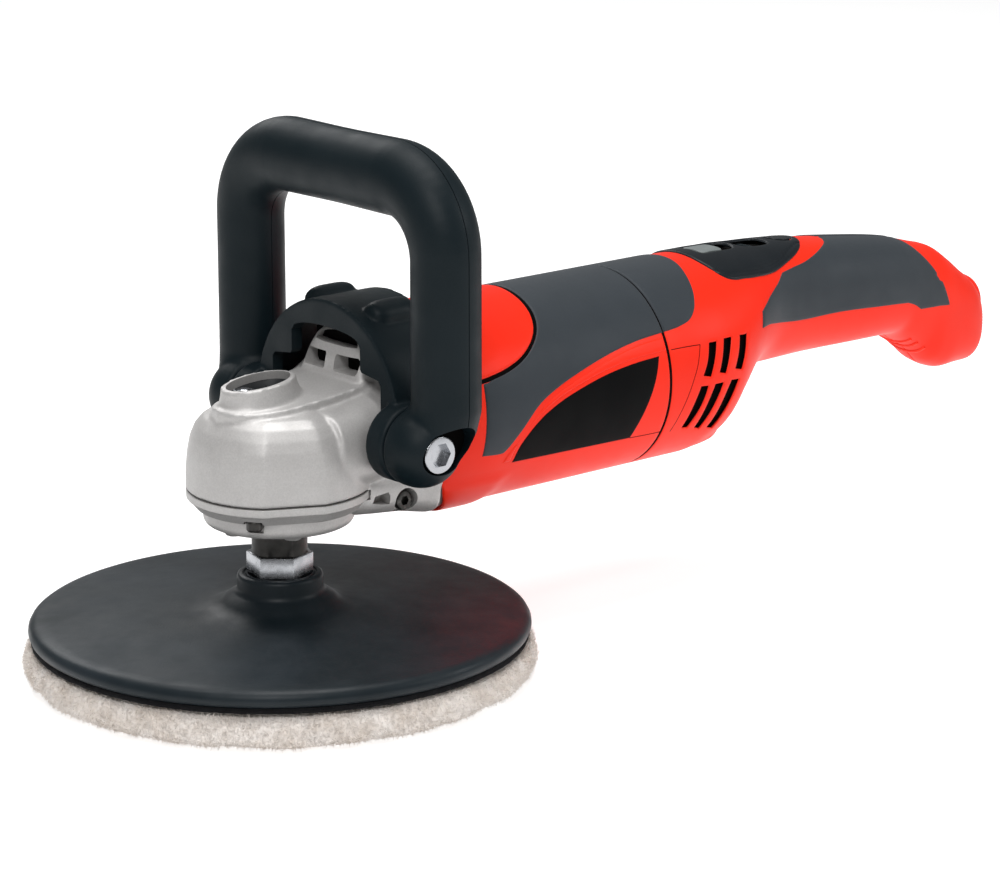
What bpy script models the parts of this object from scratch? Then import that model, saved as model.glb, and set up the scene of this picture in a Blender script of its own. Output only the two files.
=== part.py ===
"""Rotary polisher: a two-stage right-angle polisher with a D-handle, a backing pad and a wool bonnet.

Metres, +Z up. The origin is on the spindle axis at the bonnet's lower face, +X runs towards the
tool's rear end and Y is the width. The tool is symmetric about the plane Y = 0.
"""
from math import atan2, cos, pi, radians, sin

import bmesh
import bpy
from mathutils import Matrix, Vector

GAP = 0.0003                    # clearance between pieces that touch

# Pad, bonnet and spindle, stacked on the Z axis
BONNET_R, BONNET_TOP = 0.0925, 0.0139
VELCRO_R, VELCRO_TOP = 0.0885, 0.0157
PAD_R, PAD_RIM_TOP, PAD_HUB_R, PAD_TOP = 0.090, 0.0215, 0.0153, 0.0372
NUT_AF, NUT_BOTTOM, NUT_TOP = 0.0190, 0.0345, 0.0410
SPINDLE_R, SPINDLE_FLATS = 0.0100, 0.0170
THREAD_R = 0.0070               # M14 spindle thread

# Gear head
FLANGE_BOTTOM, FLANGE_LIP, HEAD_BOTTOM = 0.0530, 0.0595, 0.0665
FLANGE_R, HEAD_R = 0.0274, 0.0330
SCREW_RING_R, SCREW_ANGLES = 0.0298, (35, 145, 215, 325)
HEAD_TOP = 0.1015
LOCK_X, LOCK_PIN_X, LOCK_TOP = -0.0080, -0.0145, 0.1095

# Gear train: armature pinion -> bevel gear, idler pinion -> spindle gear
MODULE = 0.00163
SPINDLE_TEETH, IDLER_TEETH = 31, 14
BEVEL_TEETH, PINION_TEETH = 28, 8
IDLER_X = MODULE * (SPINDLE_TEETH + IDLER_TEETH) / 2
PINION_PITCH_R = 0.0055
BEVEL_PITCH_R = PINION_PITCH_R * BEVEL_TEETH / PINION_TEETH

# Motor body
AXIS_Z = 0.0878                 # height of the armature axis
NECK_X = 0.0750
BODY_R = 0.0385
WALL = 0.0025
SKIN_INSET = 0.0010             # housings lie this far under the finished surface

# D-handle and its collar
BOLT_X, BOLT_Z = 0.0235, 0.0884
LEG_X, LEG_Y, LEG_R = 0.0315, 0.0554, 0.0128
BAR_Z, CORNER_R = 0.1792, 0.0250
BOSS_R, BOSS_IN, BOSS_OUT = 0.0155, 0.0455, 0.0665
COLLAR_X0, COLLAR_X1 = 0.0219, 0.0520
COLLAR_R, COLLAR_Z, COLLAR_IN = 0.0402, 0.0929, 0.0362

RED = (0.80, 0.035, 0.010)
GREY = (0.050, 0.058, 0.068)
BLACK = (0.012, 0.013, 0.014)
STEEL = (0.45, 0.46, 0.47)
DARK_STEEL = (0.10, 0.10, 0.105)
SILVER = (0.56, 0.55, 0.54)
COPPER = (0.62, 0.26, 0.12)


# ---------------------------------------------------------------- scene and materials

def clear_scene():
    """Remove what an earlier run or the start-up file left behind."""
    for old in list(bpy.data.objects):
        bpy.data.objects.remove(old, do_unlink=True)


def new_collection(name):
    """Make a collection and link it to the scene."""
    made = bpy.data.collections.new(name)
    bpy.context.scene.collection.children.link(made)
    return made


clear_scene()
PARTS = new_collection("rotary_polisher")
CUTTERS = new_collection("cutters")


def finish(colour, roughness, metallic=0.0):
    """A Principled BSDF material with one colour."""
    mat = bpy.data.materials.new("finish")
    mat.use_nodes = True
    shader = mat.node_tree.nodes["Principled BSDF"]
    shader.inputs["Base Color"].default_value = (*colour, 1.0)
    shader.inputs["Roughness"].default_value = roughness
    shader.inputs["Metallic"].default_value = metallic
    return mat


RED_PLASTIC = finish(RED, 0.35)
GREY_GRIP = finish(GREY, 0.6)
BLACK_PLASTIC = finish(BLACK, 0.45)
BLACK_RUBBER = finish(BLACK, 0.35)
CAST_METAL = finish(SILVER, 0.4, 0.8)
BRIGHT_STEEL = finish(STEEL, 0.25, 1.0)
DARK_METAL = finish(DARK_STEEL, 0.4, 0.9)
COPPER_WIRE = finish(COPPER, 0.35, 1.0)
WOOL = finish((0.80, 0.77, 0.70), 0.95)
STEEL_STACK = finish(STEEL, 0.5, 0.9)
BRASS = finish((0.60, 0.42, 0.14), 0.35, 1.0)


def add(name, mesh, mat, collection=None):
    """Link a mesh as a named object of the assembly, or of another collection."""
    obj = bpy.data.objects.new(name, mesh)
    (collection or PARTS).objects.link(obj)
    mesh.materials.append(mat)
    return obj


def mesh_from(bm, name):
    """Turn a bmesh into a mesh with its faces pointing out."""
    bmesh.ops.recalc_face_normals(bm, faces=bm.faces)
    mesh = bpy.data.meshes.new(name)
    bm.to_mesh(mesh)
    bm.free()
    return mesh


# ---------------------------------------------------------------- shapes

TURN = {"X": Matrix.Rotation(pi / 2, 4, "Y"), "Y": Matrix.Rotation(-pi / 2, 4, "X"), "Z": Matrix()}


def turned(name, profile, mat, at=(0, 0, 0), axis="Z", steps=32, closed=False, collection=None):
    """Turn a (radius, height) profile, listed down its outer side, about an axis through at."""
    points = [(radius, 0.0, height) for radius, height in profile]
    edges = [(i, i + 1) for i in range(len(points) - 1)]
    if closed:
        edges.append((len(points) - 1, 0))
    mesh = bpy.data.meshes.new(name)
    mesh.from_pydata(points, edges, [])
    obj = add(name, mesh, mat, collection)
    obj.matrix_world = Matrix.Translation(at) @ TURN[axis]
    screw = obj.modifiers.new("turn", "SCREW")
    screw.steps = screw.render_steps = steps
    screw.use_merge_vertices = True
    screw.merge_threshold = 0.00001
    screw.use_smooth_shade = True
    return obj


def disc(name, radius, low, high, mat, **options):
    """A plain solid cylinder between two heights on its axis."""
    return turned(name, [(0, high), (radius, high), (radius, low), (0, low)], mat, **options)


def ring(name, inner, outer, low, high, mat, **options):
    """A plain ring between two heights on its axis."""
    profile = [(inner, high), (outer, high), (outer, low), (inner, low)]
    return turned(name, profile, mat, closed=True, **options)


def box(name, low, high, mat, bevel=0.0, collection=None):
    """A box between two corners, with rounded edges if bevel is given."""
    bm = bmesh.new()
    bmesh.ops.create_cube(bm, size=1.0)
    size = [b - a for a, b in zip(low, high)]
    centre = [(a + b) / 2 for a, b in zip(low, high)]
    bmesh.ops.scale(bm, vec=size, verts=bm.verts)
    obj = add(name, mesh_from(bm, name), mat, collection)
    obj.location = centre
    if bevel:
        edge = obj.modifiers.new("edges", "BEVEL")
        edge.width = bevel
        edge.segments = 1
    return obj


def prism(name, radius, low, high, mat, sides=6, at=(0, 0), turn=0.0, collection=None):
    """An upright prism with a regular outline."""
    bm = bmesh.new()
    bmesh.ops.create_cone(bm, cap_ends=True, segments=sides, radius1=radius, radius2=radius,
                          depth=high - low)
    bmesh.ops.rotate(bm, cent=(0, 0, 0), matrix=Matrix.Rotation(turn, 3, "Z"), verts=bm.verts)
    obj = add(name, mesh_from(bm, name), mat, collection)
    obj.location = (at[0], at[1], (low + high) / 2)
    return obj


def outline_solid(name, points, low, high, mat, collection=None):
    """Extrude a closed outline of (x, y) points from one height to another."""
    bm = bmesh.new()
    lower = [bm.verts.new((x, y, low)) for x, y in points]
    base = bm.faces.new(lower)
    lifted = bmesh.ops.extrude_face_region(bm, geom=[base])
    moved = [v for v in lifted["geom"] if isinstance(v, bmesh.types.BMVert)]
    bmesh.ops.translate(bm, vec=(0, 0, high - low), verts=moved)
    return add(name, mesh_from(bm, name), mat, collection)


def loft(name, rings, mat, collection=None, loop=False):
    """Skin a row of point rings; the ends are capped unless the row closes on itself."""
    bm = bmesh.new()
    rows = [[bm.verts.new(point) for point in one] for one in rings]
    count = len(rows[0])
    pairs = list(zip(rows, rows[1:])) + ([(rows[-1], rows[0])] if loop else [])
    for first, second in pairs:
        for i in range(count):
            j = (i + 1) % count
            bm.faces.new((first[i], first[j], second[j], second[i]))
    if not loop:
        bm.faces.new(rows[0][::-1])
        bm.faces.new(rows[-1])
    return add(name, mesh_from(bm, name), mat, collection)


def bent_rod(name, points, radius, mat, resolution=2, collection=None):
    """A round rod along a row of points, made a closed mesh."""
    curve = bpy.data.curves.new(name, "CURVE")
    curve.dimensions = "3D"
    curve.bevel_depth = radius
    curve.bevel_resolution = resolution
    curve.use_fill_caps = True
    line = curve.splines.new("POLY")
    line.points.add(len(points) - 1)
    for slot, point in zip(line.points, points):
        slot.co = (*point, 1.0)
    holder = bpy.data.objects.new(name + "_line", curve)
    bpy.context.scene.collection.objects.link(holder)
    graph = bpy.context.evaluated_depsgraph_get()
    mesh = bpy.data.meshes.new_from_object(holder.evaluated_get(graph))
    bpy.data.objects.remove(holder, do_unlink=True)
    bm = bmesh.new()
    bm.from_mesh(mesh)
    bmesh.ops.remove_doubles(bm, verts=bm.verts, dist=0.00001)
    bpy.data.meshes.remove(mesh)
    return add(name, mesh_from(bm, name), mat, collection)


def combine(target, tool, operation="DIFFERENCE", solver="EXACT"):
    """Cut the tool from the target, join it on, or keep what they share."""
    for holder in list(tool.users_collection):
        holder.objects.unlink(tool)
    CUTTERS.objects.link(tool)
    tool.hide_render = True
    tool.display_type = "WIRE"
    step = target.modifiers.new(tool.name, "BOOLEAN")
    step.operation = operation
    step.object = tool
    step.solver = solver
    return target


# ---------------------------------------------------------------- body sections

# Stations of the finished surface: x, top, bottom, half width, squareness (2 is an ellipse)
NECK_STATIONS = [
    (0.0040, 0.1010, 0.0668, 0.0310, 3.0),
    (0.0200, 0.1060, 0.0668, 0.0322, 3.0),
    (0.0335, 0.1130, 0.0668, 0.0330, 2.6),
    (0.0365, 0.1145, 0.0560, 0.0333, 2.6),
    (0.0480, 0.1200, 0.0510, 0.0350, 2.3),
    (0.0620, 0.1245, 0.0495, 0.0372, 2.1),
    (0.0750, 0.1263, 0.0493, 0.0385, 2.0),
]
BARREL_STATIONS = [(x, AXIS_Z + BODY_R, AXIS_Z - BODY_R, BODY_R, 2.0) for x in (0.0753, 0.1157, 0.1557)]
GRIP_STATIONS = [
    (0.1560, 0.1263, 0.0493, 0.0385, 2.0),
    (0.1820, 0.1263, 0.0493, 0.0385, 2.0),
    (0.1950, 0.1263, 0.0520, 0.0370, 2.0),
    (0.2040, 0.1263, 0.0613, 0.0342, 2.0),
    (0.2120, 0.1262, 0.0705, 0.0311, 2.0),
    (0.2200, 0.1260, 0.0760, 0.0277, 2.1),
    (0.2280, 0.1257, 0.0775, 0.0250, 2.1),
    (0.2360, 0.1253, 0.0777, 0.0233, 2.2),
    (0.2560, 0.1239, 0.0781, 0.0216, 2.3),
    (0.2860, 0.1206, 0.0777, 0.0208, 2.3),
    (0.3090, 0.1174, 0.0773, 0.0198, 2.3),
    (0.3170, 0.1157, 0.0734, 0.0192, 2.3),
    (0.3250, 0.1136, 0.0685, 0.0186, 2.3),
    (0.3330, 0.1115, 0.0614, 0.0181, 2.4),
    (0.3410, 0.1066, 0.0584, 0.0174, 2.4),
    (0.3490, 0.1005, 0.0589, 0.0166, 2.4),
    (0.3560, 0.0955, 0.0590, 0.0150, 2.4),
    (0.3600, 0.0900, 0.0620, 0.0120, 2.4),
]


def section_point(station, angle, inset=0.0):
    """The point of one station's outline at an angle from +Y towards +Z."""
    x, top, bottom, half_width, power = station
    half_height = (top - bottom) / 2 - inset
    across = cos(angle)
    up = sin(angle)
    spread = (half_width - inset) * abs(across) ** (2 / power) * (1 if across >= 0 else -1)
    lift = half_height * abs(up) ** (2 / power) * (1 if up >= 0 else -1)
    return Vector((x, spread, (top + bottom) / 2 + lift))


def section(station, inset=0.0, count=20):
    """One station's whole outline as a ring of points."""
    return [section_point(station, 2 * pi * i / count, inset) for i in range(count)]


def between(stations, x):
    """The station at x, read along straight lines between its neighbours."""
    for before, after in zip(stations, stations[1:]):
        if x <= after[0]:
            break
    share = (x - before[0]) / (after[0] - before[0])
    return tuple(a + (b - a) * share for a, b in zip(before, after))


def at_x(station, x):
    """The same outline moved to another x."""
    return (x, *station[1:])


def patch(name, stations, x_range, angles, inner, outer, mat, rows=8):
    """A skin over part of a body: x_range long, between two angles, inner to outer inset."""
    inside = [s[0] for s in stations if x_range[0] < s[0] < x_range[1]]
    xs = [x_range[0], *inside, x_range[1]]
    turns = [radians(angles[0] + (angles[1] - angles[0]) * j / rows) for j in range(rows + 1)]
    rings = []
    for x in xs:
        here = at_x(between(stations, x), x)
        over = [section_point(here, turn, outer) for turn in turns]
        under = [section_point(here, turn, inner) for turn in reversed(turns)]
        rings.append(over + under)
    return loft(name, rings, mat)


# ---------------------------------------------------------------- pad and spindle

def make_pad_stack():
    """The bonnet, its hook-and-loop layer, the rubber pad, the hub nut and the spindle."""
    turned("polishing_bonnet", [
        (0, BONNET_TOP), (BONNET_R - 0.004, BONNET_TOP), (BONNET_R - 0.001, BONNET_TOP - 0.002),
        (BONNET_R, BONNET_TOP - 0.006), (BONNET_R - 0.001, 0.0025), (BONNET_R - 0.0035, 0),
        (0, 0)], WOOL, steps=36)
    disc("velcro_layer", VELCRO_R, BONNET_TOP + GAP, VELCRO_TOP, BLACK_PLASTIC, steps=36)
    low = VELCRO_TOP + GAP
    sleeve = THREAD_R + 0.0028
    turned("backing_pad", [
        (sleeve, NUT_BOTTOM - GAP), (NUT_AF / 2 + 0.0018, NUT_BOTTOM - GAP),
        (NUT_AF / 2 + 0.0018, PAD_TOP), (PAD_HUB_R, PAD_TOP - 0.0006),
        (PAD_HUB_R + 0.0007, 0.0330), (0.0190, 0.0285), (0.0250, 0.0255), (0.0400, 0.0243),
        (PAD_R - 0.0045, PAD_RIM_TOP - 0.0010), (PAD_R - 0.0010, PAD_RIM_TOP - 0.0022),
        (PAD_R, 0.0178), (PAD_R - 0.0008, low), (sleeve, low)],
        BLACK_RUBBER, steps=36, closed=True)
    nut = prism("pad_hub_nut", NUT_AF / 3 ** 0.5, NUT_BOTTOM, NUT_TOP, BRIGHT_STEEL)
    combine(nut, disc("nut_sleeve", sleeve - GAP, low + 0.001, NUT_BOTTOM + 0.001, BRIGHT_STEEL,
                      steps=20), "UNION")
    combine(nut, disc("nut_bore", THREAD_R + GAP, 0, NUT_TOP + 0.01, BRIGHT_STEEL, steps=20))
    spindle = turned("output_spindle", [
        (0, 0.0926), (0.0045, 0.0926), (0.0045, 0.0800), (0.0060, 0.0800), (0.0060, 0.0566),
        (SPINDLE_R, 0.0560), (SPINDLE_R, NUT_TOP + GAP), (THREAD_R, NUT_TOP + GAP),
        (THREAD_R, low + 0.004), (0, low + 0.004)], DARK_METAL, steps=24)
    for side in (-1, 1):
        face = SPINDLE_FLATS / 2
        flat = box("spindle_flat", (-0.02, face, 0.0415), (0.02, face + 0.01, 0.0520), DARK_METAL)
        flat.location.y *= side
        combine(spindle, flat)


# ---------------------------------------------------------------- gears

def spur_outline(teeth, pitch_r, backlash=0.17, turn=0.0):
    """Points of a spur gear's outline: tapered teeth one module high, thinned by the backlash."""
    pitch = 2 * pi / teeth
    root_half = pitch * (0.36 - backlash / 4)
    tip_half = pitch * (0.15 - backlash / 4)
    root, tip = pitch_r - 1.15 * MODULE, pitch_r + 0.85 * MODULE
    points = []
    for i in range(teeth):
        middle = turn + i * pitch
        corners = ((root, -root_half), (tip, -tip_half), (tip, tip_half), (root, root_half))
        points += [(r * cos(middle + a), r * sin(middle + a)) for r, a in corners]
    return points


def moved(points, dx):
    """An outline shifted along X."""
    return [(x + dx, y) for x, y in points]


def make_spur_pair():
    """The spindle gear and the idler shaft with its pinion, in mesh on the line between them."""
    low, high = 0.0720, 0.0776
    pitch_r = MODULE * SPINDLE_TEETH / 2
    gear = outline_solid("spindle_gear", spur_outline(SPINDLE_TEETH, pitch_r), low, high, DARK_METAL)
    combine(gear, disc("spindle_gear_bore", 0.0060 + GAP, low - 0.01, high + 0.01, DARK_METAL,
                       steps=20))
    half_pitch = pi / IDLER_TEETH
    teeth = spur_outline(IDLER_TEETH, MODULE * IDLER_TEETH / 2, turn=pi + half_pitch)
    shaft = outline_solid("idler_shaft", moved(teeth, IDLER_X), low - 0.0006, high + 0.0006, DARK_METAL)
    core = turned("idler_core", [(0, 0.1020), (0.0040, 0.1020), (0.0040, 0.0709), (0, 0.0709)],
                  DARK_METAL, at=(IDLER_X, 0, 0), steps=20)
    combine(shaft, core, "UNION")


def bevel_rings(teeth, own_pitch_r, mate_pitch_r, turn):
    """Rings of a bevel gear with its cone's apex at the origin and its axis along -Z.

    The rings run from the back plane over the large end of the teeth to the small end and hub.
    """
    lean = atan2(own_pitch_r, mate_pitch_r)
    pitch = 2 * pi / teeth
    height = 0.0012
    root_half, tip_half = pitch * 0.325, pitch * 0.125
    large = []
    for i in range(teeth):
        middle = turn + i * pitch
        for lift, half in ((-1.15, -root_half), (0.8, -tip_half), (0.8, tip_half), (-1.15, root_half)):
            radius = own_pitch_r + lift * height * cos(lean)
            drop = -mate_pitch_r + lift * height * sin(lean)
            large.append(Vector((radius * cos(middle + half), radius * sin(middle + half), drop)))
    floor = min(point.z for point in large)
    back_r = own_pitch_r - 1.15 * height * cos(lean) - 0.0004
    back = [Vector((back_r * p.x / p.xy.length, back_r * p.y / p.xy.length, floor - 0.0015))
            for p in large]
    small = [point * 0.72 for point in large]
    hub_r = min(p.xy.length for p in small) - 0.0006
    hub_z = min(p.z for p in small) - 0.0001
    hub = [Vector((hub_r * p.x / p.xy.length, hub_r * p.y / p.xy.length, hub_z)) for p in small]
    return [back, large, small, hub]


def make_bevel_pair():
    """The bevel gear on the idler shaft and the armature shaft with its pinion."""
    apex = Vector((IDLER_X, 0, AXIS_Z))
    rings = bevel_rings(BEVEL_TEETH, BEVEL_PITCH_R, PINION_PITCH_R, 0.0)
    gear = loft("bevel_gear", [[apex + p for p in one] for one in rings], DARK_METAL)
    combine(gear, disc("bevel_gear_bore", 0.0040 + GAP, 0.06, 0.10, DARK_METAL,
                       at=(IDLER_X, 0, 0), steps=20))
    rings = bevel_rings(PINION_TEETH, PINION_PITCH_R, BEVEL_PITCH_R, pi / PINION_TEETH)
    along = Matrix.Rotation(-pi / 2, 3, "Y")
    placed = [[apex + along @ p for p in one] for one in rings]
    shaft = loft("armature_shaft", placed, DARK_METAL)
    start = IDLER_X + BEVEL_PITCH_R + 0.0008
    core = turned("armature_core_rod", [(0, 0.1880), (0.0036, 0.1880), (0.0036, start), (0, start)],
                  DARK_METAL, at=(0, 0, AXIS_Z), axis="X", steps=20)
    combine(shaft, core, "UNION")


# ---------------------------------------------------------------- gear head

def make_gear_housing():
    """The die-cast head: an upright cylinder that widens into the round motor neck."""
    housing = turned("gear_housing", [
        (0, HEAD_TOP), (0.0120, HEAD_TOP), (0.0230, 0.0985), (0.0290, 0.0955),
        (0.0322, 0.0890), (HEAD_R, 0.0740), (HEAD_R, HEAD_BOTTOM + GAP),
        (0, HEAD_BOTTOM + GAP)], CAST_METAL, steps=28)
    combine(housing, loft("head_neck", [section(s) for s in NECK_STATIONS], CAST_METAL), "UNION")
    wall = turned("lock_wall", [(0, 0.1080), (0.0090, 0.1080), (0.0095, 0.0950), (0, 0.0950)],
                  CAST_METAL, at=(LOCK_X, 0, 0), steps=20)
    wall.scale.x = 1.5
    combine(housing, wall, "UNION")
    hollow = turned("head_hollow", [
        (0, 0.0935), (0.0220, 0.0935), (0.0285, 0.0880), (0.0290, 0.0600), (0, 0.0600)],
        CAST_METAL, steps=32)
    combine(housing, hollow)
    inner = [section(s, 0.0032) for s in NECK_STATIONS[1:]]
    inner.append(section(at_x(NECK_STATIONS[-1], NECK_X + 0.01), 0.0032))
    combine(housing, loft("neck_hollow", inner, CAST_METAL))
    well = disc("lock_well", 0.0072, 0.1035, 0.1200, CAST_METAL, at=(LOCK_X, 0, 0), steps=24)
    well.scale.x = 1.6
    combine(housing, well)
    combine(housing, disc("lock_bore", 0.0030 + GAP, 0.09, 0.11, CAST_METAL, at=(LOCK_PIN_X, 0, 0),
                          steps=16))
    for side in (-1, 1):
        bore = disc("clamp_bolt_hole", 0.0030 + GAP, 0.010, 0.045, CAST_METAL,
                    at=(BOLT_X, 0, BOLT_Z), axis="Y", steps=16)
        if side < 0:
            bore.matrix_world = Matrix.Scale(-1, 4, (0, 1, 0)) @ bore.matrix_world
        combine(housing, bore)


def make_bearing_flange():
    """The lower cover with the spindle bearing's seat and its four screws."""
    flange = turned("bearing_flange", [
        (SPINDLE_R + 0.0008, 0.0575), (0.0142, 0.0575), (0.0142, HEAD_BOTTOM), (HEAD_R, HEAD_BOTTOM),
        (HEAD_R, FLANGE_LIP), (FLANGE_R, FLANGE_LIP), (FLANGE_R, FLANGE_BOTTOM + 0.0008),
        (FLANGE_R - 0.0015, FLANGE_BOTTOM), (SPINDLE_R + 0.0008, FLANGE_BOTTOM)],
        CAST_METAL, steps=36, closed=True)
    for number, degrees in enumerate(SCREW_ANGLES, 1):
        place = (SCREW_RING_R * cos(radians(degrees)), SCREW_RING_R * sin(radians(degrees)), 0)
        notch = disc("flange_notch", 0.0040, 0.0500, 0.0612, CAST_METAL, at=place, steps=16)
        combine(flange, notch)
        disc(f"flange_screw_{number}", 0.0032, 0.0572, 0.0612 - GAP, DARK_METAL, at=place, steps=12)
    ring("spindle_bearing_lower", 0.0060 + GAP, 0.0142 - GAP, 0.0575 + GAP, 0.0655, BRIGHT_STEEL)
    ring("spindle_bearing_upper", 0.0045 + GAP, 0.0100, 0.0850, 0.0920, BRIGHT_STEEL, steps=20)
    ring("idler_bearing", 0.0040 + GAP, 0.0095, 0.0930, 0.0990, BRIGHT_STEEL, at=(IDLER_X, 0, 0),
         steps=24)


def make_lock_button():
    """The spindle lock: an oval cap with a pin, and the spring under the cap's edge."""
    cap = disc("spindle_lock_button", 0.0067, 0.1072, LOCK_TOP + 0.001, BLACK_PLASTIC, steps=24)
    cap.scale.x = 1.6
    cap.location.x = LOCK_X
    pin = disc("lock_pin", 0.0030, 0.0820, 0.1080, DARK_METAL, at=(LOCK_PIN_X, 0, 0), steps=16)
    combine(cap, pin, "UNION")
    turns, per_turn = 2.5, 10
    low, high = 0.1035 + 0.0008, 0.1072 - 0.0008
    count = int(turns * per_turn)
    points = []
    for i in range(count + 1):
        angle = 2 * pi * i / per_turn
        points.append((LOCK_PIN_X + 0.0037 * cos(angle), 0.0037 * sin(angle), low + (high - low) * i / count))
    bent_rod("lock_spring", points, 0.00032, BRIGHT_STEEL, resolution=0)


# ---------------------------------------------------------------- motor

def on_motor_axis(maker, name, *sizes, mat, **options):
    """A turned piece on the armature axis; heights count along X."""
    return maker(name, *sizes, mat, at=(0, 0, AXIS_Z), axis="X", **options)


def make_motor():
    """Armature, bearings, stator, coils, commutator, brushes and their carriers."""
    shaft = 0.0036 + GAP
    on_motor_axis(ring, "armature_core", shaft, 0.0195, 0.1020, 0.1440, mat=STEEL_STACK)
    on_motor_axis(ring, "armature_winding_front", shaft, 0.0165, 0.0935, 0.1017, mat=COPPER_WIRE,
                  steps=24)
    on_motor_axis(ring, "armature_winding_rear", shaft, 0.0165, 0.1443, 0.1525, mat=COPPER_WIRE,
                  steps=24)
    on_motor_axis(ring, "commutator", shaft, 0.0110, 0.1560, 0.1690, mat=COPPER_WIRE, steps=24)
    on_motor_axis(ring, "armature_bearing_front", shaft, 0.0110, 0.0665, 0.0735, mat=BRIGHT_STEEL,
                  steps=24)
    on_motor_axis(ring, "armature_bearing_rear", shaft, 0.0095, 0.1800, 0.1860, mat=BRIGHT_STEEL,
                  steps=24)
    on_motor_axis(ring, "front_bearing_plate", 0.0113, 0.0330, 0.0670, 0.0730, mat=CAST_METAL)
    on_motor_axis(ring, "rear_bearing_bracket", 0.0098, 0.0336, 0.1805, 0.1840, mat=BLACK_PLASTIC)
    on_motor_axis(ring, "stator_core", 0.0262, 0.0343, 0.1020, 0.1440, mat=STEEL_STACK, steps=36)
    make_fan(shaft)
    for name, start in (("field_coil_upper", 20), ("field_coil_lower", 200)):
        make_field_coil(name, start)
    for side, word in ((-1, "left"), (1, "right")):
        make_brush(side, word)


def make_fan(bore):
    """The cooling fan: a disc with radial blades on its rear face."""
    fan = on_motor_axis(ring, "cooling_fan", bore, 0.0300, 0.0790, 0.0808, mat=BLACK_PLASTIC, steps=28)
    for i in range(9):
        blade = box("fan_blade", (0.0800, -0.0006, 0.0090), (0.0890, 0.0006, 0.0285), BLACK_PLASTIC)
        spin = Matrix.Rotation(2 * pi * i / 9, 4, "X")
        blade.matrix_world = Matrix.Translation((0, 0, AXIS_Z)) @ spin @ Matrix.Translation(blade.location)
        combine(fan, blade, "UNION")


def make_field_coil(name, start):
    """One saddle-shaped field coil inside the stator, 140 degrees round."""
    rings = []
    for i in range(13):
        angle = radians(start + 140 * i / 12)
        corners = ((0.0960, 0.0214), (0.1500, 0.0214), (0.1500, 0.0259), (0.0960, 0.0259))
        rings.append([(x, r * cos(angle), AXIS_Z + r * sin(angle)) for x, r in corners])
    loft(name, rings, COPPER_WIRE)


def make_brush(side, word):
    """A carbon brush and the brass holder that guides it onto the commutator."""
    near, far = sorted((side * 0.0113, side * 0.0235))
    box(f"carbon_brush_{word}", (0.1592, near, AXIS_Z - 0.0030), (0.1658, far, AXIS_Z + 0.0030),
        BLACK_RUBBER)
    near, far = sorted((side * 0.0140, side * 0.0300))
    holder = box(f"brush_holder_{word}", (0.1572, near, AXIS_Z - 0.0050),
                 (0.1800, far, AXIS_Z + 0.0050), BRASS)
    near, far = sorted((side * 0.0100, side * 0.0400))
    combine(holder, box("brush_channel", (0.1592 - GAP, near, AXIS_Z - 0.0030 - GAP),
                        (0.1658 + GAP, far, AXIS_Z + 0.0030 + GAP), BRASS))


# ---------------------------------------------------------------- housings and skins

def make_motor_housing():
    """The round red barrel between the gear head and the handle halves, and what covers it."""
    outer = [section(s, SKIN_INSET, 36) for s in (BARREL_STATIONS[0], BARREL_STATIONS[-1])]
    inner = [section(s, SKIN_INSET + WALL, 36) for s in (BARREL_STATIONS[-1], BARREL_STATIONS[0])]
    loft("motor_housing", outer + inner, RED_PLASTIC, loop=True)
    under, over = SKIN_INSET - GAP, -0.0003
    patch("barrel_soft_grip", BARREL_STATIONS, (0.1020, 0.1550), (30, 150), under, over, GREY_GRIP,
          rows=16)
    for word, start in (("right", 0), ("left", 180)):
        step = 1 if word == "right" else -1
        patch(f"side_cap_{word}", BARREL_STATIONS, (0.0780, 0.1017), (start + step * 25, start + step * 89),
              under, over, RED_PLASTIC, rows=9)
        patch(f"label_panel_{word}", BARREL_STATIONS, (0.0850, 0.1515),
              (start - step * 28, start + step * 15), under, over, BLACK_PLASTIC, rows=6)


def make_handle_halves():
    """The two rear shell halves, which carry the switch and the rear grip."""
    outer = [section(s, SKIN_INSET) for s in GRIP_STATIONS]
    inner = [section(s, SKIN_INSET + WALL) for s in GRIP_STATIONS[1:-1]]
    first = GRIP_STATIONS[0]
    inner.insert(0, section(at_x(first, first[0] + 0.0001), SKIN_INSET + WALL))
    for side, word in ((-1, "left"), (1, "right")):
        half = loft(f"rear_housing_{word}", outer, RED_PLASTIC)
        hollow = [section(at_x(first, first[0] - 0.01), SKIN_INSET + WALL)] + inner
        combine(half, loft("rear_hollow", hollow, RED_PLASTIC), solver="MANIFOLD")
        low, high = sorted((side * GAP / 2, side * 0.06))
        combine(half, box("half_space", (0.1562, low, 0.0), (0.40, high, 0.2), RED_PLASTIC),
                "INTERSECT", "MANIFOLD")
        cut_vents(half, side)
        cut_controls(half)
        gland = disc("gland_hole", 0.0062 + GAP, 0.3500, 0.3800, RED_PLASTIC, at=(0, 0, 0.0765),
                     axis="X", steps=20)
        combine(half, gland, solver="MANIFOLD")


def cut_vents(half, side):
    """Two rows of three cooling slots in the barrel's rear side wall."""
    for row_low, row_high in ((0.0860, 0.1010), (0.0690, 0.0830)):
        for i in range(3):
            x = 0.1845 + i * 0.0085
            near, far = sorted((side * 0.0200, side * 0.0450))
            combine(half, box("vent_slot", (x, near, row_low), (x + 0.0042, far, row_high), RED_PLASTIC),
                    solver="MANIFOLD")


WHEEL_X, WHEEL_Z, WHEEL_R = 0.2310, 0.1135, 0.0108
POWER_X, SLIDER_X = 0.2500, 0.2090


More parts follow.
